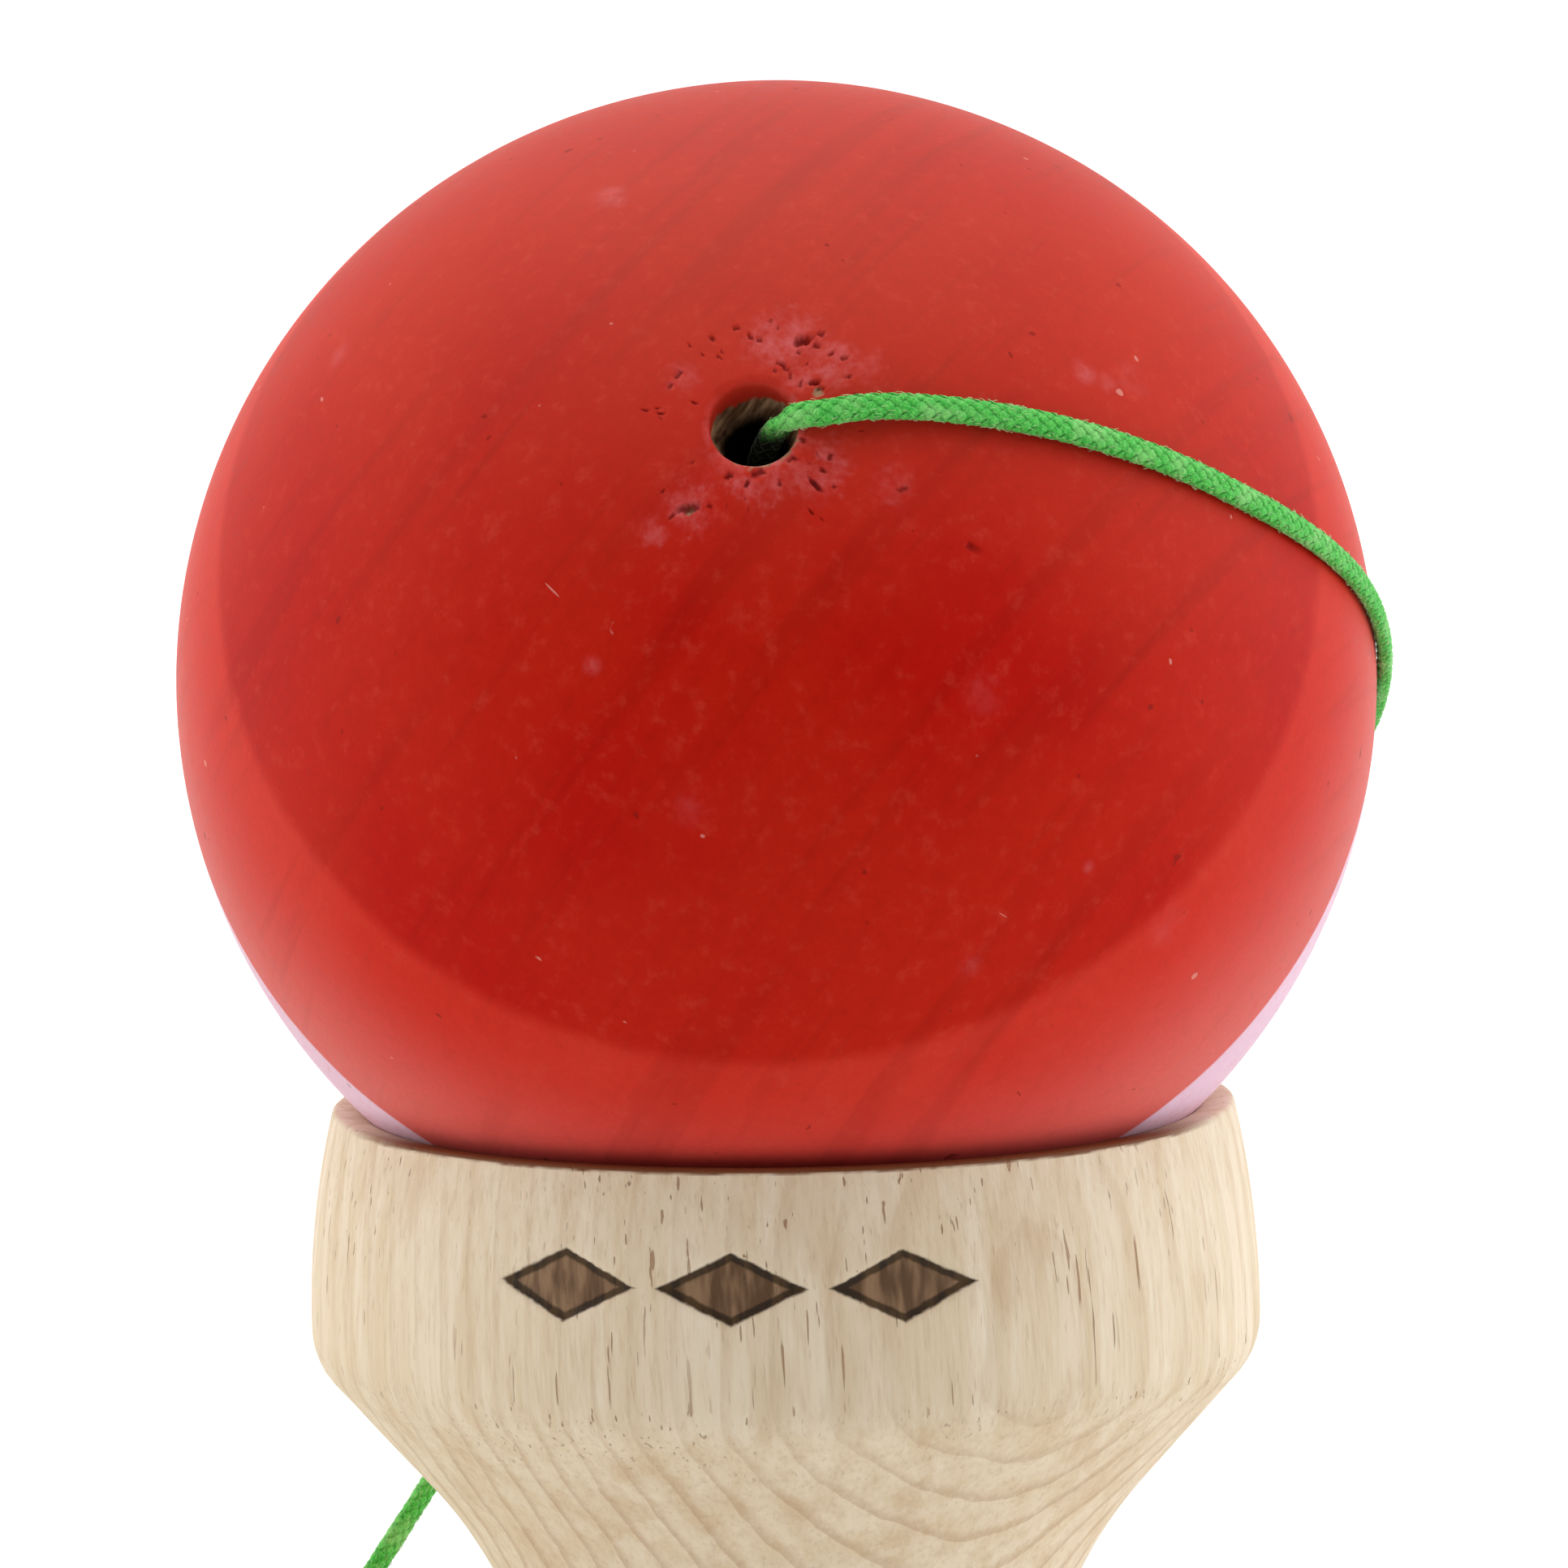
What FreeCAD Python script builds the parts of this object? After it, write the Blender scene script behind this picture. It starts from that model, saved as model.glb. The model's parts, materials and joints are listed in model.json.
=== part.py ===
"""Kendama, standing on its small cup with the ball (tama) seated in its big cup.

Millimetres, +Z up. The origin is on the ground at the middle of the wooden toy's outline:
the ken lies along X with its base cup at -X and its spike at +X, and the sarado (the crosspiece
with the two cups) stands upright on the ken, a little towards +X.
"""
import FreeCAD, Part
import math
import os
import re

import Sketcher

Vector = FreeCAD.Vector

doc = FreeCAD.newDocument("kendama")

# --------------------------------------------------------------------------------------------
# Driving dimensions
# --------------------------------------------------------------------------------------------
DIMENSIONS = [
    # ball
    ("tama_r", 30.0, "ball radius"),
    ("tama_seat", 21.2, "ball centre above the big cup's rim"),
    ("tama_turn", -1.9, "string hole, degrees round Z from the front"),
    ("tama_tilt", 28.9, "string hole, degrees above level"),
    ("bore_r", 8.25, "spike bore radius"),
    ("bore_mouth_r", 9.7, "bevelled mouth of the spike bore"),
    ("bore_bevel", 2.2, "length of the mouth's bevel"),
    ("bore_top", 7.9, "end of the bore's straight wall, above the ball's centre"),
    ("chamber_r", 5.6, "radius of the bead's chamber"),
    ("chamber_top", 19.0, "end of the chamber's straight wall, above the ball's centre"),
    ("chamber_point", 23.0, "end of the chamber's drill cone, above the ball's centre"),
    ("string_hole_r", 1.6, "string hole radius in the ball"),
    ("sink_r", 2.05, "countersink radius of the string hole"),
    ("sink_depth", 1.4, "countersink depth of the string hole"),
    # bead and knots
    ("bead_r", 5.25, "bead radius"),
    ("bead_hole_r", 1.5, "bead hole radius"),
    ("bead_up", 16.9, "bead centre above the ball's centre"),
    ("knot_r", 2.1, "knot radius"),
    ("tama_knot_up", 10.3, "knot under the bead, above the ball's centre"),
    # string
    ("string_r", 0.6, "string radius, as a round tube"),
    ("string_start", 28.55, "where the free string leaves the ball's hole, from its centre"),
    ("string_end", 12.0, "where the free string enters the sarado's hole, from its axis"),
    # sarado
    ("sarado_x", 11.0, "sarado's axis from the origin"),
    ("sarado_length", 73.0, "rim to rim"),
    ("waist_r", 12.4, "waist radius"),
    ("waist_low", 29.1, "bottom of the straight waist"),
    ("waist_high", 38.6, "top of the straight waist"),
    ("big_bowl", 12.0, "bowl depth"),
    ("big_inner_r", 21.6, "rim's inner radius"),
    ("big_rim_r", 22.4, "rim's outer radius"),
    ("big_wide_r", 23.7, "widest radius"),
    ("big_wide_down", 10.9, "widest place, under the rim"),
    ("big_wall_arc", 45.7, "wall's arc"),
    ("big_corner_r", 22.75, "corner's lower end, radius"),
    ("big_corner_down", 13.5, "corner's lower end, under the rim"),
    ("big_corner_arc", 4.0, "corner's arc"),
    ("big_cone_r", 18.0, "cone's lower end, radius"),
    ("big_cone_down", 19.1, "cone's lower end, under the rim"),
    ("big_neck_arc", 23.6, "hollow neck's arc"),
    ("small_bowl", 9.0, "bowl depth"),
    ("small_inner_r", 19.3, "rim's inner radius"),
    ("small_rim_r", 20.5, "rim's outer radius"),
    ("small_wide_r", 21.6, "widest radius"),
    ("small_wide_up", 9.7, "widest place, above the rim"),
    ("small_wall_arc", 42.8, "wall's arc"),
    ("small_corner_r", 20.73, "corner's upper end, radius"),
    ("small_corner_up", 12.04, "corner's upper end, above the rim"),
    ("small_corner_arc", 3.6, "corner's arc"),
    ("small_cone_r", 17.0, "cone's upper end, radius"),
    ("small_cone_up", 16.55, "cone's upper end, above the rim"),
    ("small_neck_arc", 19.4, "hollow neck's arc"),
    # ken, along its own axis from the base cup's rim
    ("ken_length", 162.0, "base cup rim to spike tip"),
    ("ken_height", 33.5, "ken's axis above the ground"),
    ("base_bowl", 8.5, "bowl depth"),
    ("base_inner_r", 17.4, "rim's inner radius"),
    ("base_rim_r", 18.4, "rim's outer radius"),
    ("base_wide_r", 19.4, "widest radius"),
    ("base_wide_at", 9.5, "widest place"),
    ("base_wall_arc", 45.6, "wall's arc"),
    ("base_shoulder_r", 17.6, "shoulder's end, radius"),
    ("base_shoulder_at", 15.0, "shoulder's end"),
    ("base_shoulder_arc", 9.5, "shoulder's arc"),
    ("base_neck_at", 31.0, "end of the base cup's hollow neck"),
    ("base_neck_arc", 19.0, "hollow neck's arc"),
    ("grip_r", 6.7, "grip's radius beside the base cup"),
    ("handle_r", 7.2, "handle's radius under the winding"),
    ("handle_at", 56.0, "start of the straight handle"),
    ("seat_start_at", 77.0, "start of the taper seat"),
    ("seat_start_r", 7.9, "taper seat's large radius"),
    ("handle_end_at", 72.0, "end of the straight handle"),
    ("seat_end_at", 105.0, "end of the taper seat"),
    ("seat_end_r", 7.2, "taper seat's small radius"),
    ("seat_gap", 0.02, "clearance round the taper seat"),
    ("spike_arc", 400.0, "spike's arc"),
    ("tip_at", 160.0, "start of the rounded tip"),
    ("tip_r", 2.7, "tip's radius where its round end starts"),
    ("cord_hole_r", 1.5, "string hole radius in ken and sarado"),
    ("pocket_r", 3.0, "knot pocket radius in the ken"),
    ("pocket_floor", 2.6, "knot pocket floor, from the ken's axis"),
    ("ken_knot_out", 4.9, "knot in the pocket, from the ken's axis"),
    # winding
    ("wrap_low", -34.2, "winding's left end from the sarado's axis"),
    ("wrap_length", 8.4, "winding's length along the handle"),
    ("wrap_inner_r", 7.25, "winding's inner radius"),
    ("wrap_outer_r", 8.65, "winding's outer radius"),
]

sheet = doc.addObject("Spreadsheet::Sheet", "Dims")
for row, (alias, size, meaning) in enumerate(DIMENSIONS, start=1):
    sheet.set(f"A{row}", meaning)
    sheet.set(f"B{row}", str(size))
    sheet.setAlias(f"B{row}", alias)
doc.recompute()


def size_of(expression):
    """Value of an expression in the sheet's aliases."""
    return float(sheet.evalExpression(expression))


def in_sheet(expression):
    """The same expression as another object has to write it."""
    return re.sub(r"[a-z_]+[0-9]?", lambda word: f"Dims.{word.group()}", expression)


# --------------------------------------------------------------------------------------------
# Turned pieces
# --------------------------------------------------------------------------------------------
def arc_between(start, end, radius):
    """Arc of a circle from start to end, turning left when radius is above 0."""
    middle = (start + end) * 0.5
    run = end - start
    left = Vector(-run.y, run.x, 0).normalize()
    reach = math.sqrt(max(radius * radius - run.Length * run.Length / 4, 0))
    side = 1 if radius > 0 else -1
    center = middle + left * (side * reach)
    circle = Part.Circle(center, Vector(0, 0, 1), abs(radius))
    if side > 0:
        return Part.ArcOfCircle(circle, circle.parameter(start), circle.parameter(end))
    return Part.ArcOfCircle(circle, circle.parameter(end), circle.parameter(start))


def cap_arc(half_width, depth):
    """Radius of a round cap whose middle is on the turning axis."""
    return f"({half_width} ^ 2 + ({depth}) ^ 2) / (2 * ({depth}))"


def hold(sketch, geometry, point, across, up):
    """Tie one point of the sketch to the sheet: a coordinate of 0 is on an axis."""
    for kind, expression, axis in (("DistanceX", across, -2), ("DistanceY", up, -1)):
        if expression == "0":
            sketch.addConstraint(Sketcher.Constraint("PointOnObject", geometry, point, axis))
            continue
        rule = Sketcher.Constraint(kind, -1, 1, geometry, point, size_of(expression))
        index = sketch.addConstraint(rule)
        sketch.setExpression(f"Constraints[{index}]", in_sheet(expression))


def turned_body(name, outline, axis):
    """A body turned about the sketch's own axis.

    outline is a closed list of (across, up, arc): a corner as expressions, and the radius of the
    arc that leads to the next corner, or None for a straight line. An arc that turns right has a
    minus sign in front of its radius.
    """
    body = doc.addObject("PartDesign::Body", name + "_body")
    sketch = body.newObject("Sketcher::SketchObject", name + "_outline")
    planes = {plane.Role: plane for plane in body.Origin.OriginFeatures}
    sketch.AttachmentSupport = (planes["XZ_Plane"], [""])
    sketch.MapMode = "FlatFace"
    corners = [Vector(size_of(across), size_of(up), 0) for across, up, _ in outline]
    for index, (across, up, arc) in enumerate(outline):
        start = corners[index]
        end = corners[(index + 1) % len(corners)]
        if arc is None:
            sketch.addGeometry(Part.LineSegment(start, end), False)
            start_point = 1
        else:
            turns_right = arc.startswith("-")
            radius = size_of(arc.lstrip("-"))
            curve = arc_between(start, end, -radius if turns_right else radius)
            sketch.addGeometry(curve, False)
            rule = sketch.addConstraint(Sketcher.Constraint("Radius", index, radius))
            sketch.setExpression(f"Constraints[{rule}]", in_sheet(arc.lstrip("-")))
            start_point = 2 if turns_right else 1
        hold(sketch, index, start_point, across, up)
    for index in range(len(outline)):
        following = (index + 1) % len(outline)
        end_point = 1 if (outline[index][2] or "").startswith("-") else 2
        start_point = 2 if (outline[following][2] or "").startswith("-") else 1
        joined = Sketcher.Constraint("Coincident", index, end_point, following, start_point)
        sketch.addConstraint(joined)
    doc.recompute()
    turned = body.newObject("PartDesign::Revolution", name + "_turned")
    turned.Profile = sketch
    turned.ReferenceAxis = (sketch, [axis])
    turned.Angle = 360
    body.Tip = turned
    doc.recompute()
    return body


def bind(target, **expressions):
    """Tie an object's properties to the sheet."""
    for name, expression in expressions.items():
        target.setExpression(name.replace("__", "."), in_sheet(expression))


def drill(name, radius, length, placement):
    """A straight cutting tool."""
    tool = doc.addObject("Part::Cylinder", name)
    bind(tool, Radius=radius, Height=length)
    tool.Placement = placement
    return tool


def cut(name, base, tools):
    """The base less every tool, as the sub-part of that name."""
    tool = tools[0]
    if len(tools) > 1:
        tool = doc.addObject("Part::MultiFuse", name + "_tools")
        tool.Shapes = tools
    result = doc.addObject("Part::Cut", name)
    result.Base = base
    result.Tool = tool
    result.Label = name
    return result


# Directions of the drills: Part primitives grow along their own Z
ALONG_X = FreeCAD.Rotation(Vector(0, 1, 0), 90)
ALONG_Y = FreeCAD.Rotation(Vector(1, 0, 0), -90)
ALONG_MINUS_Y = FreeCAD.Rotation(Vector(1, 0, 0), 90)


# --------------------------------------------------------------------------------------------
# Sarado: the crosspiece with the big cup above and the small cup below
# --------------------------------------------------------------------------------------------
def make_sarado():
    rim = "sarado_length"
    outline = [
        ("0", "small_bowl", "-" + cap_arc("small_inner_r", "small_bowl")),
        ("small_inner_r", "0", None),
        ("small_rim_r", "0", "small_wall_arc"),
        ("small_wide_r", "small_wide_up", "small_corner_arc"),
        ("small_corner_r", "small_corner_up", None),
        ("small_cone_r", "small_cone_up", "-small_neck_arc"),
        ("waist_r", "waist_low", None),
        ("waist_r", "waist_high", "-big_neck_arc"),
        ("big_cone_r", f"{rim} - big_cone_down", None),
        ("big_corner_r", f"{rim} - big_corner_down", "big_corner_arc"),
        ("big_wide_r", f"{rim} - big_wide_down", "big_wall_arc"),
        ("big_rim_r", rim, None),
        ("big_inner_r", rim, "-" + cap_arc("big_inner_r", "big_bowl")),
        ("0", f"{rim} - big_bowl", None),
    ]
    body = turned_body("sarado", outline, "V_Axis")
    # tapered bore for the ken, cut past both sides of the waist
    taper = doc.addObject("Part::Cone", "sarado_taper")
    bind(taper, Radius1="seat_start_r + seat_gap", Radius2="seat_end_r + seat_gap",
         Height="seat_end_at - seat_start_at")
    left = size_of("seat_start_at - ken_length / 2 - sarado_x")
    height = size_of("ken_height")
    taper.Placement = FreeCAD.Placement(Vector(left, 0, height), ALONG_X)
    # string holes through the waist, front and back
    front = Vector(0, -size_of("big_wide_r"), height)
    hole = drill("sarado_string_hole", "cord_hole_r", "big_wide_r * 2",
                 FreeCAD.Placement(front, ALONG_Y))
    sarado = cut("sarado", body, [taper, hole])
    sarado.setExpression("Placement.Base.x", "Dims.sarado_x")
    return sarado


# --------------------------------------------------------------------------------------------
# Ken: base cup, handle, taper seat and spike, turned in one piece
# --------------------------------------------------------------------------------------------
def make_ken():
    outline = [
        ("ken_length", "0", cap_arc("tip_r", "ken_length - tip_at")),
        ("tip_at", "tip_r", "spike_arc"),
        ("seat_end_at", "seat_end_r", None),
        ("seat_start_at", "seat_start_r", None),
        ("handle_end_at", "handle_r", None),
        ("handle_at", "handle_r", None),
        ("base_neck_at", "grip_r", "-base_neck_arc"),
        ("base_shoulder_at", "base_shoulder_r", "base_shoulder_arc"),
        ("base_wide_at", "base_wide_r", "base_wall_arc"),
        ("0", "base_rim_r", None),
        ("0", "base_inner_r", "-" + cap_arc("base_inner_r", "base_bowl")),
        ("base_bowl", "0", None),
    ]
    body = turned_body("ken", outline, "H_Axis")
    # string hole across the ken, and the pocket in front that hides the knot
    crossing = size_of("ken_length / 2 + sarado_x")
    reach = size_of("seat_start_r * 2")
    hole = drill("ken_string_hole", "cord_hole_r", "seat_start_r * 4",
                 FreeCAD.Placement(Vector(crossing, -reach, 0), ALONG_Y))
    floor = -size_of("pocket_floor")
    pocket = drill("ken_knot_pocket", "pocket_r", "seat_start_r",
                   FreeCAD.Placement(Vector(crossing, floor, 0), ALONG_MINUS_Y))
    ken = cut("ken", body, [hole, pocket])
    ken.setExpression("Placement.Base.x", "-Dims.ken_length / 2")
    ken.setExpression("Placement.Base.z", "Dims.ken_height")
    return ken


# --------------------------------------------------------------------------------------------
# Tama and what is inside it: all made about their own Z, which is the bore's axis
# --------------------------------------------------------------------------------------------
tama_center = Vector(size_of("sarado_x"), 0, size_of("sarado_length + tama_seat"))
turn = math.radians(size_of("tama_turn"))
tilt = math.radians(size_of("tama_tilt"))
string_hole_way = Vector(math.sin(turn) * math.cos(tilt), -math.cos(turn) * math.cos(tilt),
                         math.sin(tilt))
TAMA_PLACE = FreeCAD.Placement(tama_center, FreeCAD.Rotation(Vector(0, 0, 1), string_hole_way))


def make_tama():
    ball = doc.addObject("Part::Sphere", "tama_ball")
    bind(ball, Radius="tama_r")
    mouth_down = math.sqrt(size_of("tama_r * tama_r - bore_mouth_r * bore_mouth_r"))
    bevel_top = size_of("bore_bevel") - mouth_down
    rise = FreeCAD.Rotation()
    # bevelled mouth, straight bore, the bead's chamber with its drill cone, string hole and sink
    bevel = doc.addObject("Part::Cone", "tama_bevel")
    bind(bevel, Height="bore_bevel * 2", Radius2="bore_r",
         Radius1="bore_r + (bore_mouth_r - bore_r) * 2")
    bevel.Placement = FreeCAD.Placement(Vector(0, 0, bevel_top - size_of("bore_bevel * 2")), rise)
    bore = drill("tama_bore", "bore_r", "bore_top + tama_r",
                 FreeCAD.Placement(Vector(0, 0, -size_of("tama_r")), rise))
    chamber = drill("tama_bead_chamber", "chamber_r", "chamber_top",
                    FreeCAD.Placement(Vector(), rise))
    point = doc.addObject("Part::Cone", "tama_chamber_end")
    bind(point, Radius1="chamber_r", Radius2="string_hole_r",
         Height="chamber_point - chamber_top")
    point.Placement = FreeCAD.Placement(Vector(0, 0, size_of("chamber_top")), rise)
    hole = drill("tama_string_hole", "string_hole_r", "tama_r",
                 FreeCAD.Placement(Vector(0, 0, size_of("bore_top")), rise))
    sink = doc.addObject("Part::Cone", "tama_sink")
    bind(sink, Radius1="string_hole_r", Radius2="sink_r", Height="sink_depth")
    sink.Placement = FreeCAD.Placement(Vector(0, 0, size_of("tama_r - sink_depth")), rise)
    tama = cut("tama", ball, [bevel, bore, chamber, point, hole, sink])
    tama.Placement = TAMA_PLACE
    return tama


def make_bead():
    bead = doc.addObject("Part::Sphere", "bead_ball")
    bind(bead, Radius="bead_r")
    low = -size_of("bead_r")
    hole = drill("bead_hole", "bead_hole_r", "bead_r * 2",
                 FreeCAD.Placement(Vector(0, 0, low), FreeCAD.Rotation()))
    result = cut("tama_bead", bead, [hole])
    lift = FreeCAD.Placement(Vector(0, 0, size_of("bead_up")), FreeCAD.Rotation())
    result.Placement = TAMA_PLACE.multiply(lift)
    return result


def make_knot(name, place):
    knot = doc.addObject("Part::Sphere", name)
    bind(knot, Radius="knot_r")
    knot.Label = name
    knot.Placement = place
    return knot


# --------------------------------------------------------------------------------------------
# String
# --------------------------------------------------------------------------------------------
# From the ball's centre. The string leaves the hole in front, lies on the ball round its right
# side, drops into the groove between ball and rim at the back, crosses the big cup's wall and
# runs tight down to the winding on the handle.
BALL_TO_HANDLE = [
    (-0.8, -25.2, 13.9),
    (-0.8, -26.7, 14.8),
    (0.4, -27.6, 15.6),
    (3.2, -27.2, 15.7),
    (8.0, -26.2, 15.1),
    (13.2, -24.4, 14.0),
    (18.2, -22.0, 12.2),
    (22.9, -18.7, 10.0),
    (26.9, -14.2, 7.4),
    (29.7, -8.8, 4.4),
    (31.1, -3.2, 1.2),
    (31.1, 2.7, -2.3),
    (29.8, 8.5, -5.7),
    (27.1, 13.7, -9.1),
    (23.0, 18.0, -12.3),
    (17.8, 21.3, -15.1),
    (12.2, 23.2, -17.6),
    (6.9, 24.5, -19.9),
    (2.2, 24.8, -22.6),
    (-2.4, 24.7, -25.8),
    (-6.8, 23.7, -29.2),
    (-10.9, 22.0, -32.5),
    (-33.0, 7.4, -64.2),
]
# From the sarado's axis at the ken's height: off the winding, along the handle's back, round the
# sarado's waist and into its string hole.
HANDLE_TO_HOLE = [
    (-26.4, 5.6, 5.9),
    (-22.0, 7.8, 3.6),
    (-16.0, 9.4, 2.0),
    (-10.0, 11.3, 1.0),
    (-5.0, 12.9, 0.4),
    (-2.6, 13.9, 0.1),
    (-1.1, 14.3, 0.0),
    (0.0, 13.4, 0.0),
    (0.0, 12.0, 0.0),
]
ARC_SHARE = 0.45


def rounded_path(points):
    """Straight runs joined by tangent arcs, each as large as its two runs allow."""
    edges = []
    radii = []
    at = points[0]
    for before, corner, after in zip(points, points[1:], points[2:]):
        back = before - corner
        ahead = after - corner
        share = ARC_SHARE * min(back.Length, ahead.Length)
        back.normalize()
        ahead.normalize()
        turned = math.pi - back.getAngle(ahead)
        radius = share / math.tan(turned / 2)
        radii.append(radius)
        start = corner + back * share
        end = corner + ahead * share
        inward = (back + ahead).normalize()
        to_center = math.sqrt(radius * radius + share * share)
        middle = corner + inward * (to_center - radius)
        edges.append(Part.LineSegment(at, start).toShape())
        edges.append(Part.Arc(start, middle, end).toShape())
        at = end
    edges.append(Part.LineSegment(at, points[-1]).toShape())
    return Part.Wire(edges), radii


def make_tube(name, points):
    """A round tube along a route."""
    radius = size_of("string_r")
    path, radii = rounded_path(points)
    first_way = points[1] - points[0]
    section = Part.Wire(Part.makeCircle(radius, points[0], first_way))
    shape = path.makePipeShell([section], True, True)
    expected = math.pi * radius * radius * path.Length
    if abs(shape.Volume - expected) > 0.02 * expected:
        raise RuntimeError(f"{name}: volume {shape.Volume:.1f}, expected {expected:.1f}")
    print(f"{name}: length {path.Length:.1f} mm, arc radii "
          + " ".join(f"{bend:.1f}" for bend in radii))
    tube = doc.addObject("Part::Feature", name)
    tube.Shape = shape
    tube.Label = name
    tube.Placement = FreeCAD.Placement()
    return tube


def make_wrap(ken_crossing):
    """Closed solid of the winding's outer shape, round the handle."""
    outer = doc.addObject("Part::Cylinder", "wrap_outer")
    bind(outer, Radius="wrap_outer_r", Height="wrap_length")
    inner = doc.addObject("Part::Cylinder", "wrap_inner")
    bind(inner, Radius="wrap_inner_r", Height="wrap_length")
    wrap = doc.addObject("Part::Cut", "string_wrap")
    wrap.Base = outer
    wrap.Tool = inner
    wrap.Label = "string_wrap"
    start = ken_crossing + Vector(size_of("wrap_low"), 0, 0)
    wrap.Placement = FreeCAD.Placement(start, ALONG_X)
    return wrap


def make_straight_string(name, length, place):
    """A length of string that is held inside a hole."""
    string = doc.addObject("Part::Cylinder", name)
    bind(string, Radius="string_r", Height=length)
    string.Label = name
    string.Placement = place
    return string


def make_string_pieces():
    crossing = Vector(size_of("sarado_x"), 0, size_of("ken_height"))
    ball_route = [tama_center + Vector(*point) for point in BALL_TO_HANDLE]
    hole_route = [crossing + Vector(*point) for point in HANDLE_TO_HOLE]
    knot_top = FreeCAD.Placement(Vector(0, 0, size_of("tama_knot_up + knot_r")),
                                 FreeCAD.Rotation())
    ken_knot_at = crossing - Vector(0, size_of("ken_knot_out"), 0)
    inner_start = crossing - Vector(0, size_of("ken_knot_out - knot_r"), 0)
    return [
        make_tube("string", ball_route),
        make_wrap(crossing),
        make_tube("string_tail", hole_route),
        make_straight_string("string_in_tama", "string_start - tama_knot_up - knot_r",
                             TAMA_PLACE.multiply(knot_top)),
        make_straight_string("string_in_ken", "string_end + ken_knot_out - knot_r",
                             FreeCAD.Placement(inner_start, ALONG_Y)),
        make_knot("ken_knot", FreeCAD.Placement(ken_knot_at, FreeCAD.Rotation())),
    ]


# --------------------------------------------------------------------------------------------
# Build, check and write
# --------------------------------------------------------------------------------------------
under_bead = FreeCAD.Placement(Vector(0, 0, size_of("tama_knot_up")), FreeCAD.Rotation())
sub_parts = [make_ken(), make_sarado(), make_tama(), make_bead()]
sub_parts.append(make_knot("tama_knot", TAMA_PLACE.multiply(under_bead)))
sub_parts += make_string_pieces()
doc.recompute()

for item in doc.Objects:
    if "Invalid" in item.State or "Error" in item.State:
        raise RuntimeError(f"{item.Name} is in state {item.State}")
for sub_part in sub_parts:
    if sub_part.Shape.isNull() or not sub_part.Shape.isValid():
        raise RuntimeError(f"{sub_part.Label} has no valid shape")

os.makedirs("parts", exist_ok=True)
for sub_part in sub_parts:
    sub_part.Shape.exportStep(f"parts/{sub_part.Label}.step")
    print(f"{sub_part.Label}: {sub_part.Shape.Volume:.0f} mm3, {len(sub_part.Shape.Solids)} solid")
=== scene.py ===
"""Kendama: painted ball in the big cup of a bare beech crosspiece, tied on with a green braid."""
import json
import math

import bpy
import numpy as np
from mathutils import Matrix, Vector, noise


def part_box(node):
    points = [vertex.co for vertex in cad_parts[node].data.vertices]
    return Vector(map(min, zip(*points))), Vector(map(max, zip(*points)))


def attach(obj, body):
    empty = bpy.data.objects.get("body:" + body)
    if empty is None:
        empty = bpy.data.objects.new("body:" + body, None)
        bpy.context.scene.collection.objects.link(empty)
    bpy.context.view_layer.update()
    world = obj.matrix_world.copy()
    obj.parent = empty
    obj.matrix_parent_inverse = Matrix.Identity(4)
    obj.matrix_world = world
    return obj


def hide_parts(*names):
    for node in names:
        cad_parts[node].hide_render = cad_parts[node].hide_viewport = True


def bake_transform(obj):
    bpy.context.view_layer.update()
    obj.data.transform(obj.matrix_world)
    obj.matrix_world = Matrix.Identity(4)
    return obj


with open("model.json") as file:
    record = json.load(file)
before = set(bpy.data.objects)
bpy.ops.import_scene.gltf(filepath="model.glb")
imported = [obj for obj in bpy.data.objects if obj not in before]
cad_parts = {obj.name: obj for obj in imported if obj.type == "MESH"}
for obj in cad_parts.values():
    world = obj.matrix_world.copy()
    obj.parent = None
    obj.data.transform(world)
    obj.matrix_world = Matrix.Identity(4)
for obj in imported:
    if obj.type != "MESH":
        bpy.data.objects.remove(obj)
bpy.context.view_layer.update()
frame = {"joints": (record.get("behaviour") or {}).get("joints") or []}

MM = 0.001

# ---------- Places, from the frame ----------
spin = next(joint for joint in frame["joints"] if joint["name"] == "tama_spin")
BALL = Vector(spin["pos_m"])
HOLE_WAY = Vector(spin["axis"]).normalized()
BALL_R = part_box("tama")[1].z - BALL.z
ken_low, ken_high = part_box("ken")
KEN_Z = (ken_low.z + ken_high.z) / 2
RIM_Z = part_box("sarado")[1].z
CROSSING = Vector((BALL.x, 0, KEN_Z))
HOLE_RIGHT = Vector((0, 0, 1)).cross(HOLE_WAY).normalized()
HOLE_UP = HOLE_WAY.cross(HOLE_RIGHT)
# Axes to turn a profile about, which is the last of the three
HOLE_AXES = (HOLE_RIGHT, HOLE_UP, HOLE_WAY)
ALONG_X = ((0, 1, 0), (0, 0, 1), (1, 0, 0))
ALONG_Y = ((0, 0, 1), (1, 0, 0), (0, 1, 0))
ALONG_Z = ((1, 0, 0), (0, 1, 0), (0, 0, 1))


def link(thing):
    bpy.context.scene.collection.objects.link(thing)
    return thing

# ---------- Camera ----------
CAMERA_AWAY = 400 * MM
CAMERA_ELEVATION = math.radians(5.35)
CAMERA_ROLL = math.radians(-0.85)
CAMERA_LENS = 183.3
AIM_RIGHT = 0.3 * MM
AIM_DOWN = 5.2 * MM


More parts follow.
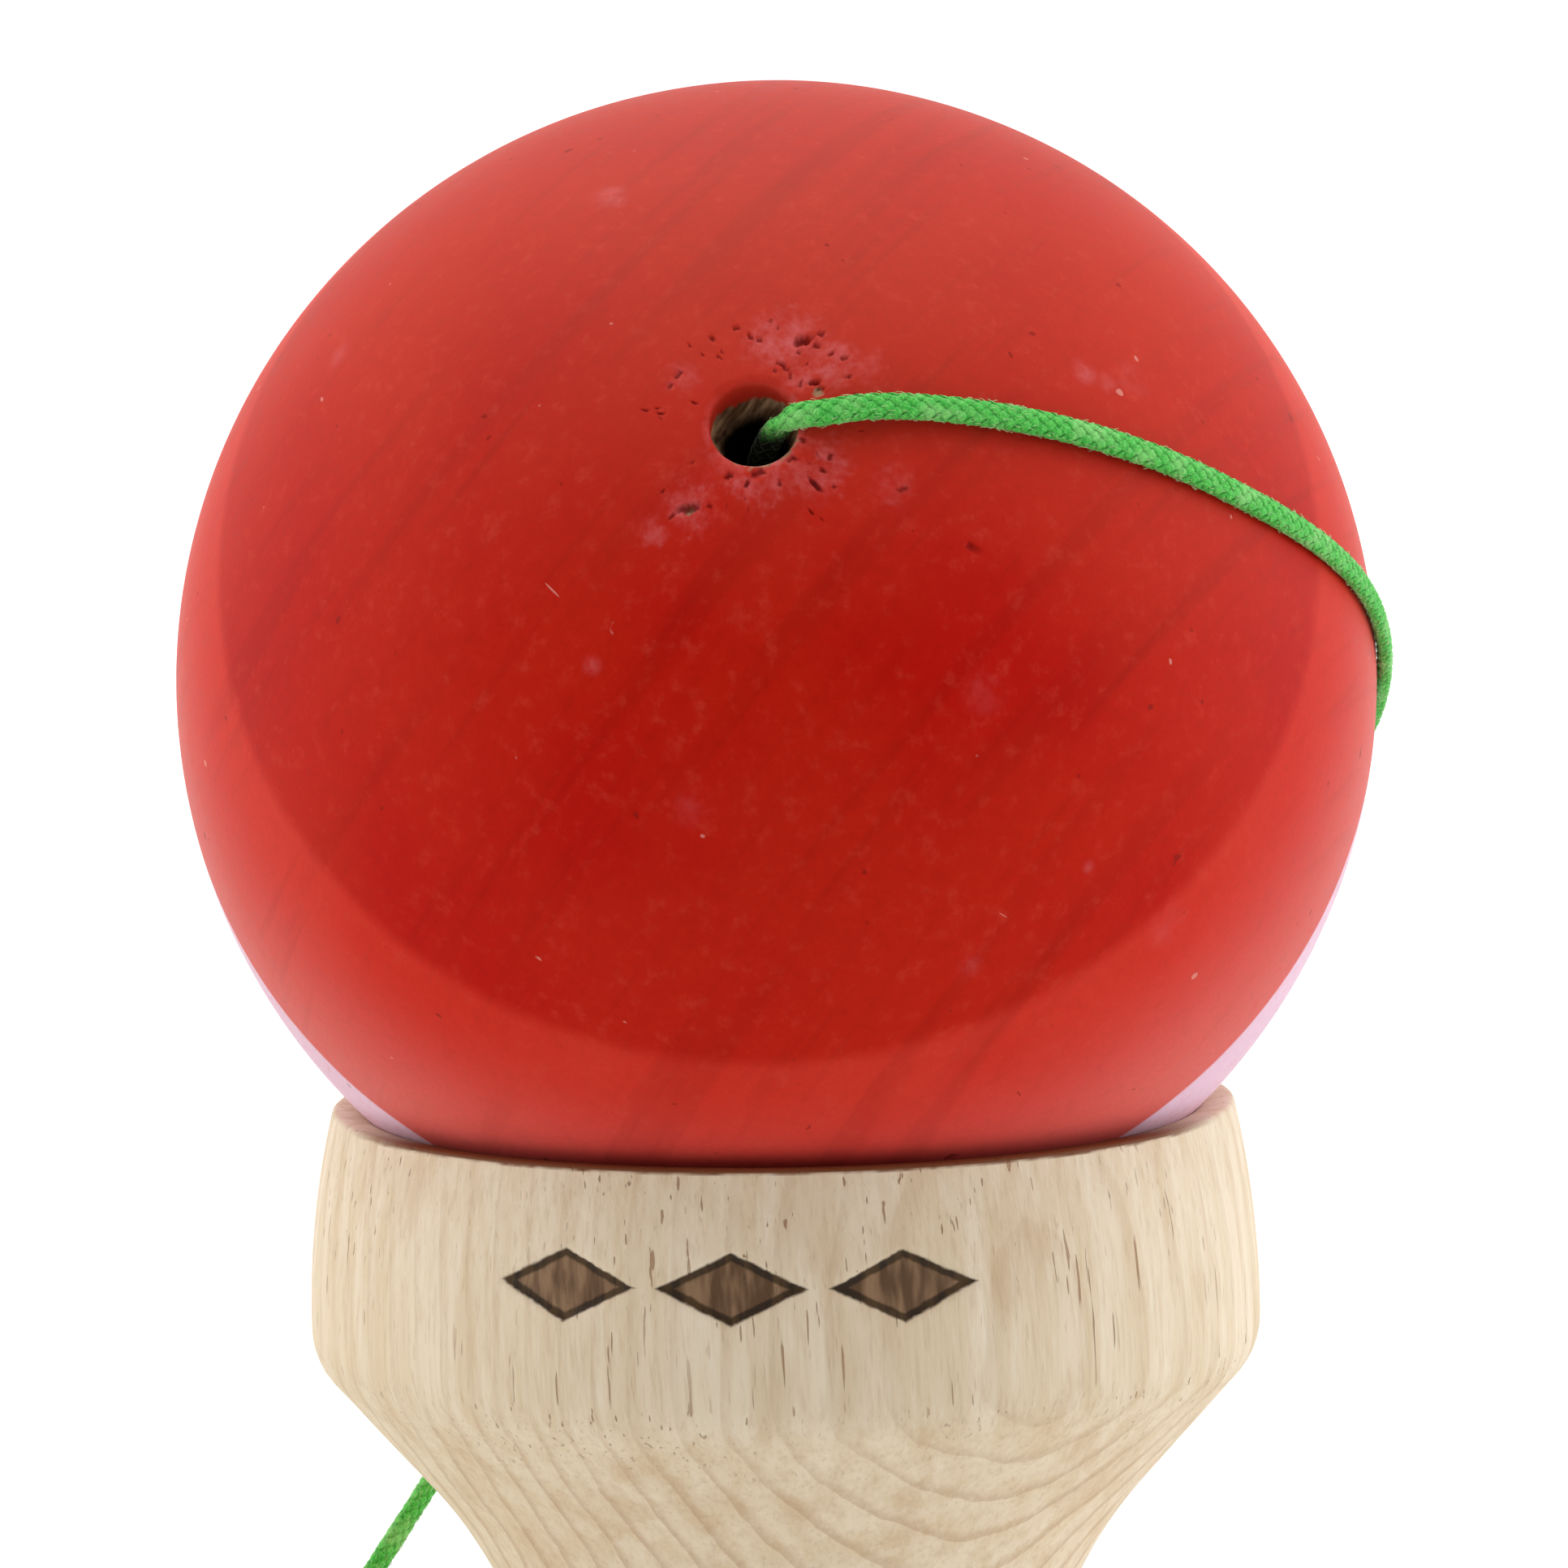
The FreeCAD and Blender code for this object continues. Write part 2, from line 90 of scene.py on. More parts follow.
def make_camera():
    eye = BALL + CAMERA_AWAY * Vector((0, -math.cos(CAMERA_ELEVATION), math.sin(CAMERA_ELEVATION)))
    aim = BALL + Vector((AIM_RIGHT, 0, -AIM_DOWN))
    forward = (aim - eye).normalized()
    level = forward.cross(Vector((0, 0, 1))).normalized()
    above = level.cross(forward)
    right = math.cos(CAMERA_ROLL) * level + math.sin(CAMERA_ROLL) * above
    up = right.cross(forward)
    data = bpy.data.cameras.new("camera")
    data.lens = CAMERA_LENS
    data.sensor_width = 36
    data.clip_start = 0.01
    camera = link(bpy.data.objects.new("camera", data))
    camera.matrix_world = Matrix((
        (right.x, up.x, -forward.x, eye.x),
        (right.y, up.y, -forward.y, eye.y),
        (right.z, up.z, -forward.z, eye.z),
        (0, 0, 0, 1)))
    bpy.context.scene.camera = camera


# ---------- Shader nodes ----------
class Shader:
    """Short ways to add and join nodes. An input is a number, a colour or another node's output."""

    def __init__(self, name):
        self.material = bpy.data.materials.new(name)
        self.material.use_nodes = True
        self.tree = self.material.node_tree
        self.tree.nodes.clear()

    def add(self, kind, inputs=(), **settings):
        node = self.tree.nodes.new("ShaderNode" + kind)
        for name, value in settings.items():
            setattr(node, name, value)
        pairs = inputs.items() if isinstance(inputs, dict) else enumerate(inputs)
        for key, value in pairs:
            if isinstance(value, bpy.types.NodeSocket):
                self.tree.links.new(value, node.inputs[key])
            elif value is not None:
                node.inputs[key].default_value = value
        return node

    def math(self, operation, first, second=None, clamp=False):
        return self.add("Math", [first, second], operation=operation, use_clamp=clamp).outputs[0]

    def times(self, first, second):
        return self.math("MULTIPLY", first, second)

    def vector_math(self, operation, first, second=None):
        return self.add("VectorMath", [first, second], operation=operation).outputs[0]

    def dot(self, first, second):
        node = self.add("VectorMath", [first, second], operation="DOT_PRODUCT")
        return node.outputs["Value"]

    def along_axes(self, vector, axes, scales):
        """The vector's share along each of three axes, each times its scale."""
        shares = [self.times(self.dot(vector, axis[:]), scale)
                  for axis, scale in zip(axes, scales)]
        return self.add("CombineXYZ", shares).outputs[0]

    def noise(self, vector, scale, detail=2.0, roughness=0.5, distortion=0.0):
        node = self.add("TexNoise", {"Vector": vector, "Scale": scale, "Detail": detail,
                                     "Roughness": roughness, "Distortion": distortion})
        return node.outputs[0]

    def between(self, value, low, high):
        """0 below low, 1 above high, smooth between them."""
        node = self.add("MapRange", [value, low, high, 0.0, 1.0],
                        interpolation_type="SMOOTHSTEP")
        return node.outputs[0]

    def scaled(self, value, low, high, share):
        """0 to share, as value goes from low to high."""
        return self.times(self.between(value, low, high), share)

    def mix(self, share, first, second, blend="MIX"):
        """first where share is 0, and second where it is 1."""
        node = self.add("Mix", {0: share, 6: first, 7: second}, data_type="RGBA",
                        blend_type=blend)
        return node.outputs[2]

    def attribute(self, name):
        return self.add("Attribute", attribute_name=name).outputs["Fac"]

    def bump(self, height, distance, strength=1.0, below=None):
        node = self.add("Bump", {"Height": height, "Distance": distance, "Strength": strength})
        if below is not None:
            self.tree.links.new(below, node.inputs["Normal"])
        return node.outputs[0]

    def finish(self, **inputs):
        named = {key.replace("_", " "): value for key, value in inputs.items()}
        principled = self.add("BsdfPrincipled", named)
        self.add("OutputMaterial", {0: principled.outputs[0]})
        return self.material


def srgb(red, green, blue):
    """A shader colour from the 0 to 255 numbers of a screen colour."""
    def linear(part):
        part /= 255
        return part / 12.92 if part <= 0.04045 else ((part + 0.055) / 1.055) ** 2.4
    return (linear(red), linear(green), linear(blue), 1.0)


# ---------- Materials ----------
# The painted cap's middle, and the edges of cap and band, in degrees from there
PAINT_WAY = Vector((-0.0253, -0.8532, 0.5210)).normalized()
CAP_ANGLE = 63.3
RED_ANGLE = 91.0
DEEP_RED = srgb(193, 12, 3)
DEEP_RED_WORN = srgb(199, 28, 9)
BAND_RED = srgb(213, 42, 28)
BAND_RED_WORN = srgb(217, 52, 38)
BAND_PALE = srgb(228, 122, 116)
PINK = srgb(242, 206, 226)
PINK_WORN = srgb(236, 196, 218)
# Rubbed spots on the paint: place from the ball's middle in mm, radius in mm, strength
SPOTS = [
    ((-7.7, -14.9, 24.9), 1.3, 0.55), ((-7.2, -15.6, 24.6), 0.7, 0.55),
    ((14.8, -20.3, 16.4), 1.0, 0.60), ((15.9, -19.9, 15.8), 0.8, 0.45),
    ((-8.6, -28.5, 3.5), 0.7, 0.45), ((-20.9, -12.8, 17.3), 1.1, 0.30),
    ((17.2, -18.8, 16.0), 1.4, 0.30), ((14.5, -25.3, -6.6), 0.5, 0.40),
    ((9.6, -28.3, 2.0), 1.6, 0.18), ((18.5, -21.4, -10.0), 1.8, 0.20),
    ((-4.0, -29.5, -3.0), 1.5, 0.15), ((8.9, -26.4, -11.1), 0.9, 0.25),
]
# Growth rings in the ball's wood run across the first of these ways
BALL_GRAIN = (Vector((0.76, -0.20, -0.62)).normalized(), Vector((0.60, -0.15, 0.78)).normalized(),
              Vector((0.25, 0.97, 0.0)).normalized())


def coats(shader, place, way):
    """Deep red cap, lighter red band and pale pink far half, each a little uneven."""
    angle = shader.math("DEGREES", shader.math("ARCCOSINE", shader.dot(way, PAINT_WAY[:])))
    wobble = shader.times(shader.noise(place, 90.0, 2.0), 1.2)
    angle = shader.math("ADD", angle, wobble)
    broad = shader.noise(place, 60.0, 3.0, 0.55)
    uneven = shader.between(broad, 0.35, 0.65)
    deep = shader.mix(uneven, DEEP_RED, DEEP_RED_WORN)
    band = shader.mix(uneven, BAND_RED, BAND_RED_WORN)
    band = shader.mix(shader.scaled(angle, 66.0, 90.0, 0.55), band, BAND_PALE)
    pink = shader.mix(shader.between(broad, 0.3, 0.7), PINK, PINK_WORN)
    red = shader.mix(shader.between(angle, CAP_ANGLE - 0.9, CAP_ANGLE + 1.5), deep, band)
    return shader.mix(shader.between(angle, RED_ANGLE - 0.1, RED_ANGLE + 0.5), red, pink)


def grain_under_paint(shader, from_center):
    """How far the wood's growth rings and fibres darken the paint."""
    sheets = shader.along_axes(from_center, BALL_GRAIN, (520.0, 26.0, 30.0))
    rings = shader.scaled(shader.noise(sheets, 1.0, 2.0, 0.5, 0.2), 0.56, 0.70, 0.36)
    thin_sheets = shader.along_axes(from_center, BALL_GRAIN, (1300.0, 60.0, 120.0))
    lines = shader.scaled(shader.noise(thin_sheets, 1.0, 2.0), 0.55, 0.75, 0.30)
    return shader.math("ADD", rings, lines)


def chalky(shader, place, from_center):
    """How far the paint is rubbed chalky, round the hole and in the spots."""
    chalk = shader.attribute("chalk")
    for middle, radius, strength in SPOTS:
        gap = shader.add("VectorMath", [from_center, [part * MM for part in middle]],
                         operation="DISTANCE").outputs["Value"]
        chalk = shader.math("MAXIMUM", chalk, shader.scaled(gap, radius * MM, 0.0, strength))
    cloud = shader.between(shader.noise(place, 900.0, 5.0, 0.65), 0.30, 0.72)
    return shader.math("MULTIPLY", chalk, cloud, clamp=True)


def specks_and_hairs(shader, place, from_center):
    """Pale specks, and hairline scratches across the grain."""
    specks = shader.between(shader.noise(place, 1000.0, 1.0), 0.80, 0.825)
    across = shader.along_axes(from_center, BALL_GRAIN, (260.0, 3200.0, 500.0))
    hairs = shader.between(shader.noise(across, 1.0, 1.0), 0.825, 0.84)
    return shader.times(shader.math("MAXIMUM", specks, hairs), 0.55)


def painted_wood():
    """Satin paint with wear over wood, bare in holes and chips; painted shade and highlight."""
    shader = Shader("painted_wood")
    place = shader.add("TexCoord").outputs["Object"]
    from_center = shader.vector_math("SUBTRACT", place, BALL[:])
    way = shader.vector_math("NORMALIZE", from_center)
    fibres = shader.noise(shader.along_axes(from_center, BALL_GRAIN, (2600.0, 300.0, 900.0)),
                          1.0, 3.0, 0.6)
    mottle = shader.noise(place, 1100.0, 4.0, 0.65)
    pinpricks = shader.noise(place, 4200.0, 2.0)
    dust_and_painted_highlight = shader.add("SeparateXYZ", [way]).outputs[2]
    paint = coats(shader, place, way)
    darker = shader.mix(1.0, paint, (0.72, 0.66, 0.66, 1.0), "MULTIPLY")
    paint = shader.mix(grain_under_paint(shader, from_center), paint, darker)
    paint = shader.mix(shader.scaled(mottle, 0.50, 0.80, 0.28), paint, srgb(222, 84, 66))
    paint = shader.mix(shader.scaled(mottle, 0.50, 0.22, 0.30), paint, darker)
    paint = shader.mix(shader.scaled(pinpricks, 0.35, 0.70, 0.16), paint, darker)
    # paler on upward faces: partly dust, partly a painted highlight from the top light
    paint = shader.mix(shader.scaled(dust_and_painted_highlight, 0.05, 0.95, 0.085), paint, srgb(238, 170, 142))
    paint = shader.mix(chalky(shader, place, from_center), paint, srgb(220, 112, 114))
    paint = shader.mix(specks_and_hairs(shader, place, from_center), paint,
                       srgb(236, 164, 150))
    dots = shader.noise(place, 1500.0, 0.0)
    paint = shader.mix(shader.scaled(dots, 0.84, 0.87, 0.5), paint, srgb(110, 14, 12))
    bare = shader.mix(shader.between(fibres, 0.3, 0.7), srgb(92, 62, 40),
                      srgb(196, 158, 124))
    smooth_bore = shader.mix(shader.between(fibres, 0.2, 0.8), srgb(196, 160, 128),
                             srgb(222, 192, 160))
    bare = shader.mix(shader.attribute("bore"), bare, smooth_bore)
    colour = shader.mix(shader.attribute("raw"), paint, bare)
    colour = shader.mix(shader.attribute("dent"), colour, srgb(122, 4, 4))
    # painted shade: deep in the string hole the wall goes near black
    colour = shader.mix(shader.attribute("soot"), colour, srgb(16, 10, 6))
    rough = shader.add("Math", [mottle, 0.20, 0.42], operation="MULTIPLY_ADD").outputs[0]
    fine = shader.bump(shader.noise(place, 3000.0, 4.0, 0.6), 0.00002, 0.5)
    normal = shader.bump(fibres, 0.00002, 0.5, fine)
    return shader.finish(Base_Color=colour, Roughness=rough, Normal=normal,
                         Specular_IOR_Level=0.11, Specular_Tint=(1.0, 0.72, 0.55, 1.0))


# Three burnt marks on the big cup's wall, as plain lozenges, a pitch apart round the wall
FIRST_MARK = -10.9
MARK_PITCH = 8.3
MARK_Z = 67.35
MARK_HALF_WIDTH = 3.6
MARK_HALF_HEIGHT = 1.75
MARK_LINE = 0.24
# The wall's radius, and the least radius that can be burnt
WALL_R = 23.5
INNER_R = 22.0


def burnt_marks(shader, place):
    """How far a place is in a mark's dark outline, and in the lighter burn inside it."""
    x, y, z = shader.add("SeparateXYZ", [shader.vector_math("SUBTRACT", place, (BALL.x, 0, 0))]
                         ).outputs
    turned = shader.math("ARCTAN2", x, shader.times(y, -1.0))
    around = shader.times(turned, WALL_R)
    rough = shader.times(shader.noise(place, 1600.0, 2.0), 0.36)
    rough = shader.math("SUBTRACT", rough, 0.18)
    start = FIRST_MARK - MARK_PITCH / 2
    stepped = shader.math("PINGPONG", shader.math("SUBTRACT", around, start), MARK_PITCH / 2)
    across = shader.math("SUBTRACT", MARK_PITCH / 2, stepped)
    up = shader.math("SUBTRACT", shader.times(z, 1 / MM), MARK_Z)
    size = shader.math("ADD", shader.times(across, 1 / MARK_HALF_WIDTH),
                       shader.times(shader.math("ABSOLUTE", up), 1 / MARK_HALF_HEIGHT))
    size = shader.math("ADD", size, shader.times(rough, 0.35))
    from_line = shader.math("ABSOLUTE", shader.math("SUBTRACT", size, 1 - MARK_LINE / 2))
    line = shader.between(from_line, MARK_LINE / 2 + 0.05, MARK_LINE / 2 - 0.05)
    fill = shader.between(size, 0.96, 0.90)
    inside = shader.math("LESS_THAN", shader.math("ABSOLUTE", shader.math(
        "SUBTRACT", around, FIRST_MARK + MARK_PITCH)), 1.5 * MARK_PITCH)
    away = shader.math("SQRT", shader.math("ADD", shader.times(x, x),
                                           shader.times(y, y)))
    inside = shader.times(inside, shader.math("GREATER_THAN", away, INNER_R * MM))
    return shader.times(line, inside), shader.times(fill, inside)


RING_PITCH = 0.0019


def beech(name, along, pith, tint=1.0, rings=0.38, marked=False):
    """Bare turned beech. along is the grain's axis, and pith a point on the tree's middle."""
    shader = Shader(name)
    place = shader.add("TexCoord").outputs["Object"]
    local = shader.vector_math("SUBTRACT", place, pith[:])
    if along == "X":
        local = shader.add("VectorRotate", {"Vector": local, "Angle": math.radians(90),
                                            "Axis": (0, 1, 0)}).outputs[0]
    local = shader.add("VectorRotate", {"Vector": local, "Angle": math.radians(2.5),
                                        "Axis": (0, 1, 0)}).outputs[0]

    def grain(across, lengthwise, detail=2.0, roughness=0.5):
        stretched = shader.vector_math("MULTIPLY", local, (across, across, lengthwise))
        return shader.noise(stretched, 1.0, detail, roughness)

    # growth rings round the tree's middle, wavy along the grain, faint where the wall is upright
    flat = shader.vector_math("MULTIPLY", local, (1.0, 1.0, 0.03))
    reach = shader.add("VectorMath", [flat], operation="LENGTH").outputs["Value"]
    sway = shader.times(grain(60.0, 14.0, 2.0), 0.0030)
    wave = shader.times(grain(420.0, 160.0, 2.0), 0.0006)
    reach = shader.math("ADD", shader.math("ADD", reach, sway), wave)
    turns = shader.math("FRACT", shader.times(reach, 1 / RING_PITCH))
    ring = shader.times(shader.between(turns, 0.62, 0.95),
                       shader.between(turns, 1.0, 0.96))
    height = shader.add("SeparateXYZ", [place]).outputs[2]
    high = shader.add("MapRange", [height, 56 * MM, 61 * MM, 1.0, 0.38]).outputs[0]
    low = shader.add("MapRange", [height, 36 * MM, 48 * MM, 0.45 * rings, rings]).outputs[0]
    ring_share = shader.times(ring, shader.times(high, low))
    # streaks, blotches, fibres, pores and short dark checks
    pale = shader.mix(shader.between(grain(650.0, 38.0, 3.0, 0.6), 0.36, 0.66),
                      srgb(243, 226, 200), srgb(233, 212, 180))
    blotch = shader.scaled(grain(330.0, 95.0, 3.0), 0.54, 0.70, 0.28)
    colour = shader.mix(blotch, pale, srgb(205, 170, 126))
    colour = shader.mix(ring_share, colour, srgb(184, 142, 98))
    fibres = grain(3400.0, 330.0, 3.0, 0.65)
    colour = shader.mix(shader.scaled(fibres, 0.48, 0.72, 0.28), colour,
                        srgb(196, 164, 126))
    colour = shader.mix(shader.scaled(fibres, 0.46, 0.26, 0.30), colour,
                        srgb(250, 240, 224))
    upright = shader.add("MapRange", [height, 57 * MM, 61 * MM, 0.15, 1.0]).outputs[0]
    pores = shader.times(shader.between(grain(5600.0, 480.0, 1.0), 0.69, 0.76), upright)
    colour = shader.mix(shader.times(pores, 0.26), colour, srgb(164, 118, 74))
    checks = shader.times(shader.between(grain(3800.0, 110.0, 2.0, 0.45), 0.675, 0.705),
                         shader.between(shader.noise(place, 70.0, 1.0), 0.40, 0.58))
    checks = shader.times(checks, upright)
    colour = shader.mix(shader.times(checks, 0.70), colour, srgb(150, 100, 56))
    if marked:
        line, fill = burnt_marks(shader, place)
        scorched = shader.between(grain(1500.0, 300.0), 0.35, 0.65)
        colour = shader.mix(fill, colour, shader.mix(scorched, srgb(98, 70, 46),
                                                     srgb(150, 118, 88)))
        colour = shader.mix(line, colour, shader.mix(scorched, srgb(48, 32, 16),
                                                     srgb(80, 58, 30)))
    # brown top edge of the rim at the front: partly stain, partly painted contact shadow under the
    # ball
    colour = shader.mix(shader.attribute("worn"), colour, srgb(122, 72, 38))
    if tint != 1.0:
        colour = shader.mix(1.0, colour, (tint, tint * 0.97, tint * 0.93, 1.0), "MULTIPLY")
    rough = shader.add("Math", [fibres, 0.2, 0.50], operation="MULTIPLY_ADD").outputs[0]
    fine = shader.bump(fibres, 0.00004, 1.0)
    cracked = shader.bump(shader.math("SUBTRACT", 1.0, checks), 0.0001, 0.8, fine)
    return shader.finish(Base_Color=colour, Roughness=rough, Normal=cracked,
                         Specular_IOR_Level=0.30)


def green_braid():
    shader = Shader("green_braid")
    place = shader.add("TexCoord").outputs["Object"]
    fibre = shader.noise(place, 9000.0, 2.0, 0.6)
    tone = shader.noise(place, 700.0, 2.0)
    base = shader.mix(shader.between(fibre, 0.3, 0.75), srgb(44, 182, 56),
                      srgb(120, 226, 104))
    base = shader.mix(shader.scaled(tone, 0.45, 0.7, 0.35), base, srgb(186, 242, 158))
    # painted shade: strands where they pass under, and the inner side of each strand, are darker
    # green
    low = shader.attribute("low")
    colour = shader.mix(shader.between(low, 0.0, 1.0), base, srgb(16, 112, 34))
    # painted highlight: the loose fibres are pale
    colour = shader.mix(shader.between(low, -0.1, -0.5), colour, srgb(206, 240, 176))
    # painted shade: the string goes near black deep in the ball's string hole
    colour = shader.mix(shader.attribute("soot"), colour, srgb(4, 18, 6))
    normal = shader.bump(fibre, 0.00003, 0.8)
    return shader.finish(Base_Color=colour, Roughness=0.72, Normal=normal,
                         Specular_IOR_Level=0.3, Sheen_Weight=0.35, Sheen_Roughness=0.4,
                         Sheen_Tint=(0.75, 1.0, 0.7, 1.0))


def studio_floor():
    """Pale card, lit up from where it leaves the object to the backdrop."""
    shader = Shader("studio_floor")
    place = shader.add("TexCoord").outputs["Object"]
    tone = shader.noise(place, 3.0, 2.0)
    colour = shader.mix(tone, (0.80, 0.80, 0.79, 1), (0.84, 0.84, 0.83, 1))
    back = shader.add("SeparateXYZ", [place]).outputs[1]
    glow = shader.times(shader.between(back, 0.10, 0.50), 0.75)
    return shader.finish(Base_Color=colour, Roughness=0.9, Emission_Color=colour,
                         Emission_Strength=glow)


# ---------- Meshes ----------
def new_piece(name, points, faces, material, body, nodes):
    mesh = bpy.data.meshes.new(name)
    mesh.from_pydata([tuple(point) for point in points], [], faces)
    mesh.validate()
    mesh.shade_smooth()
    mesh.materials.append(material)
    piece = link(bpy.data.objects.new(name, mesh))
    if nodes:
        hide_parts(*nodes)
    if body:
        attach(piece, body)
    return piece


def arc(start, end, radius, step=0.12):
    """Points of a circle's arc from start up to end, turning right when radius is below 0."""
    start = np.array(start, float)
    end = np.array(end, float)
    run = end - start
    length = np.hypot(*run)
    left = np.array((-run[1], run[0])) / length
    reach = math.sqrt(max(radius * radius - length * length / 4, 0.0))
    center = (start + end) / 2 + left * math.copysign(reach, radius)
    first = math.atan2(*(start - center)[::-1])
    turn = math.copysign(2 * math.asin(min(1, length / 2 / abs(radius))), radius)
    count = max(2, int(abs(turn * radius) / step))
    angles = first + turn * np.arange(count) / count
    return [tuple(center + abs(radius) * np.array((math.cos(a), math.sin(a)))) for a in angles]


def line(start, end, step=0.12):
    start = np.array(start, float)
    end = np.array(end, float)
    count = max(1, int(np.hypot(*(end - start)) / step))
    return [tuple(start + (end - start) * i / count) for i in range(count)]


def walk(points):
    """How far along the line each of its points is."""
    steps = np.linalg.norm(np.diff(points, axis=0), axis=1)
    return np.concatenate(([0], np.cumsum(steps)))


def resample(points, step):
    """The same line with a point every step."""
    walked = walk(points)
    even = np.linspace(0, walked[-1], int(walked[-1] / step) + 1)
    return np.stack([np.interp(even, walked, part) for part in points.T], 1)


def outline(corners, soft=0.22, step=0.12):
    """Profile through corners of (radius, along, arc radius or None), with softened edges."""
    points = []
    for (r0, z0, bend), (r1, z1, _) in zip(corners, corners[1:]):
        points += arc((r0, z0), (r1, z1), bend) if bend else line((r0, z0), (r1, z1))
    points.append(corners[-1][:2])
    points = resample(np.array(points), step)
    half = int(3 * soft / step)
    weights = np.exp(-0.5 * (np.arange(-half, half + 1) * step / soft) ** 2)
    weights /= weights.sum()
    padded = np.concatenate([2 * points[0] - points[half:0:-1], points,
                             2 * points[-1] - points[-2:-half - 2:-1]])
    smooth = np.stack([np.convolve(padded[:, axis], weights, "valid") for axis in (0, 1)], 1)
    smooth[0], smooth[-1] = points[0], points[-1]
    return smooth


def thin(profile, spacing):
    """Every point that is at least spacing(point) from the one kept before it."""
    kept = [profile[0]]
    for point in profile[1:-1]:
        if np.hypot(*(point - kept[-1])) >= spacing(point):
            kept.append(point)
    return np.array(kept + [profile[-1]])


def circle(count):
    """count angles, evenly round a circle."""
    return np.linspace(0, 2 * math.pi, count, endpoint=False)


def turn_on_lathe(profile, angles, axes, origin, ring=False):
    """Vertices and faces of a profile of (radius, along) in mm, turned about axes[2].

    A ring's profile ends beside its start, and its last row joins its first.
    """
    across, over, along = (np.array(axis) for axis in axes)
    columns = len(angles)
    around = np.outer(np.cos(angles), across) + np.outer(np.sin(angles), over)
    closed_start = profile[0][0] < 1e-6
    closed_end = profile[-1][0] < 1e-6
    rows = profile[1 if closed_start else 0:-1 if closed_end else None]
    points = [radius * around + height * along for radius, height in rows]
    points = np.concatenate(points) * MM + np.array(origin)
    faces = []
    here = np.arange(columns)
    following = (here + 1) % columns
    for row in range(len(rows) - (0 if ring else 1)):
        a = row * columns
        b = (row + 1) % len(rows) * columns
        faces += np.stack([a + here, a + following, b + following, b + here], 1).tolist()
    ends = []
    if closed_start:
        tip = len(points) + len(ends)
        ends.append(profile[0][1] * along * MM + np.array(origin))
        faces += np.stack([np.full(columns, tip), following, here], 1).tolist()
    if closed_end:
        tip = len(points) + len(ends)
        last = (len(rows) - 1) * columns
        ends.append(profile[-1][1] * along * MM + np.array(origin))
        faces += np.stack([np.full(columns, tip), last + here, last + following], 1).tolist()
    if ends:
        points = np.concatenate([points, ends])
    return points, faces


def push_out(points, push, origin, axis):
    """Points moved away from an axis (0 to 2) through origin, by push in mm."""
    ways = points - np.array(origin)
    ways[:, axis] = 0
    spread = np.linalg.norm(ways, axis=1)
    return points + ways / np.maximum(spread, 1e-6)[:, None] * (push * MM)[:, None]


def paint(piece, **layers):
    """Numbers at each point, which the piece's material reads by name."""
    for name, values in layers.items():
        attribute = piece.data.attributes.new(name, "FLOAT", "POINT")
        attribute.data.foreach_set("value", np.asarray(values, np.float32))


def waves(points, scale, seed=0.0):
    """Smooth noise from about -1 to 1 at each point."""
    shift = Vector((seed, -seed, seed * 0.5))
    return np.array([noise.noise(Vector(point) * scale + shift) for point in points])


def smooth_step(value, low, high):
    share = np.clip((value - low) / (high - low), 0, 1)
    return share * share * (3 - 2 * share)


# ---------- Ball ----------
# Dents round the string hole: right, up, length, width, tilt in degrees, depth, in mm
DENTS = [
    (-0.9, 5.0, 0.22, 0.12, 40, 0.12), (-2.0, 4.5, 0.18, 0.12, -30, 0.10),
    (-0.2, 4.5, 0.22, 0.10, -50, 0.12), (0.25, 4.3, 0.20, 0.10, -40, 0.12),
    (2.3, 4.3, 0.52, 0.26, 15, 0.28), (3.1, 4.7, 0.20, 0.12, 0, 0.12),
    (2.9, 4.0, 0.24, 0.12, -35, 0.14), (3.6, 3.6, 0.16, 0.12, 20, 0.12),
    (4.2, 3.4, 0.18, 0.10, -20, 0.12), (4.4, 2.4, 0.14, 0.10, 0, 0.10),
    (1.4, 2.8, 0.34, 0.12, -38, 0.16), (2.8, 2.0, 0.30, 0.14, 10, 0.20),
    (-3.6, 2.6, 0.30, 0.10, 55, 0.12), (-4.0, 2.0, 0.22, 0.10, 50, 0.10),
    (2.3, -1.0, 0.20, 0.12, -70, 0.14), (1.75, -1.95, 0.26, 0.14, 20, 0.16),
    (3.55, -1.8, 0.22, 0.14, -80, 0.16), (3.2, -2.5, 0.14, 0.12, 0, 0.12),
    (2.85, -3.2, 0.48, 0.14, -48, 0.24), (-1.2, -2.8, 0.30, 0.14, 15, 0.14),
    (0.15, -2.65, 0.40, 0.18, 15, 0.22), (-0.35, -3.2, 0.24, 0.12, 60, 0.14),
    (1.2, -3.15, 0.16, 0.10, 70, 0.10), (3.75, -3.3, 0.12, 0.10, 0, 0.08),
    (-3.1, -4.25, 0.62, 0.22, 5, 0.20), (6.9, -3.2, 0.26, 0.12, 30, 0.06),
    (10.0, -5.6, 0.24, 0.12, 60, 0.06), (-3.8, -4.6, 0.20, 0.10, 30, 0.10),
]
# Pinkish rubbed patches: right, up, radius, strength
RUBBED = [
    (1.5, 4.3, 2.4, 0.55), (3.6, 3.2, 1.8, 0.5), (2.2, 2.3, 1.1, 0.6), (-3.4, 2.4, 1.2, 0.4),
    (0.2, -2.9, 1.9, 0.6), (2.9, -2.3, 2.0, 0.55), (-3.0, -4.3, 1.7, 0.6), (-1.6, -2.2, 1.2, 0.4),
    (5.2, 3.2, 1.2, 0.35), (-4.6, -5.2, 1.0, 0.45), (6.5, -3.0, 1.4, 0.25),
]
# Chips down to bare wood: right, up, radius
CHIPS = [(3.0, 1.5, 0.30), (-3.0, -4.35, 0.26)]
DENTS_UP = 0.2
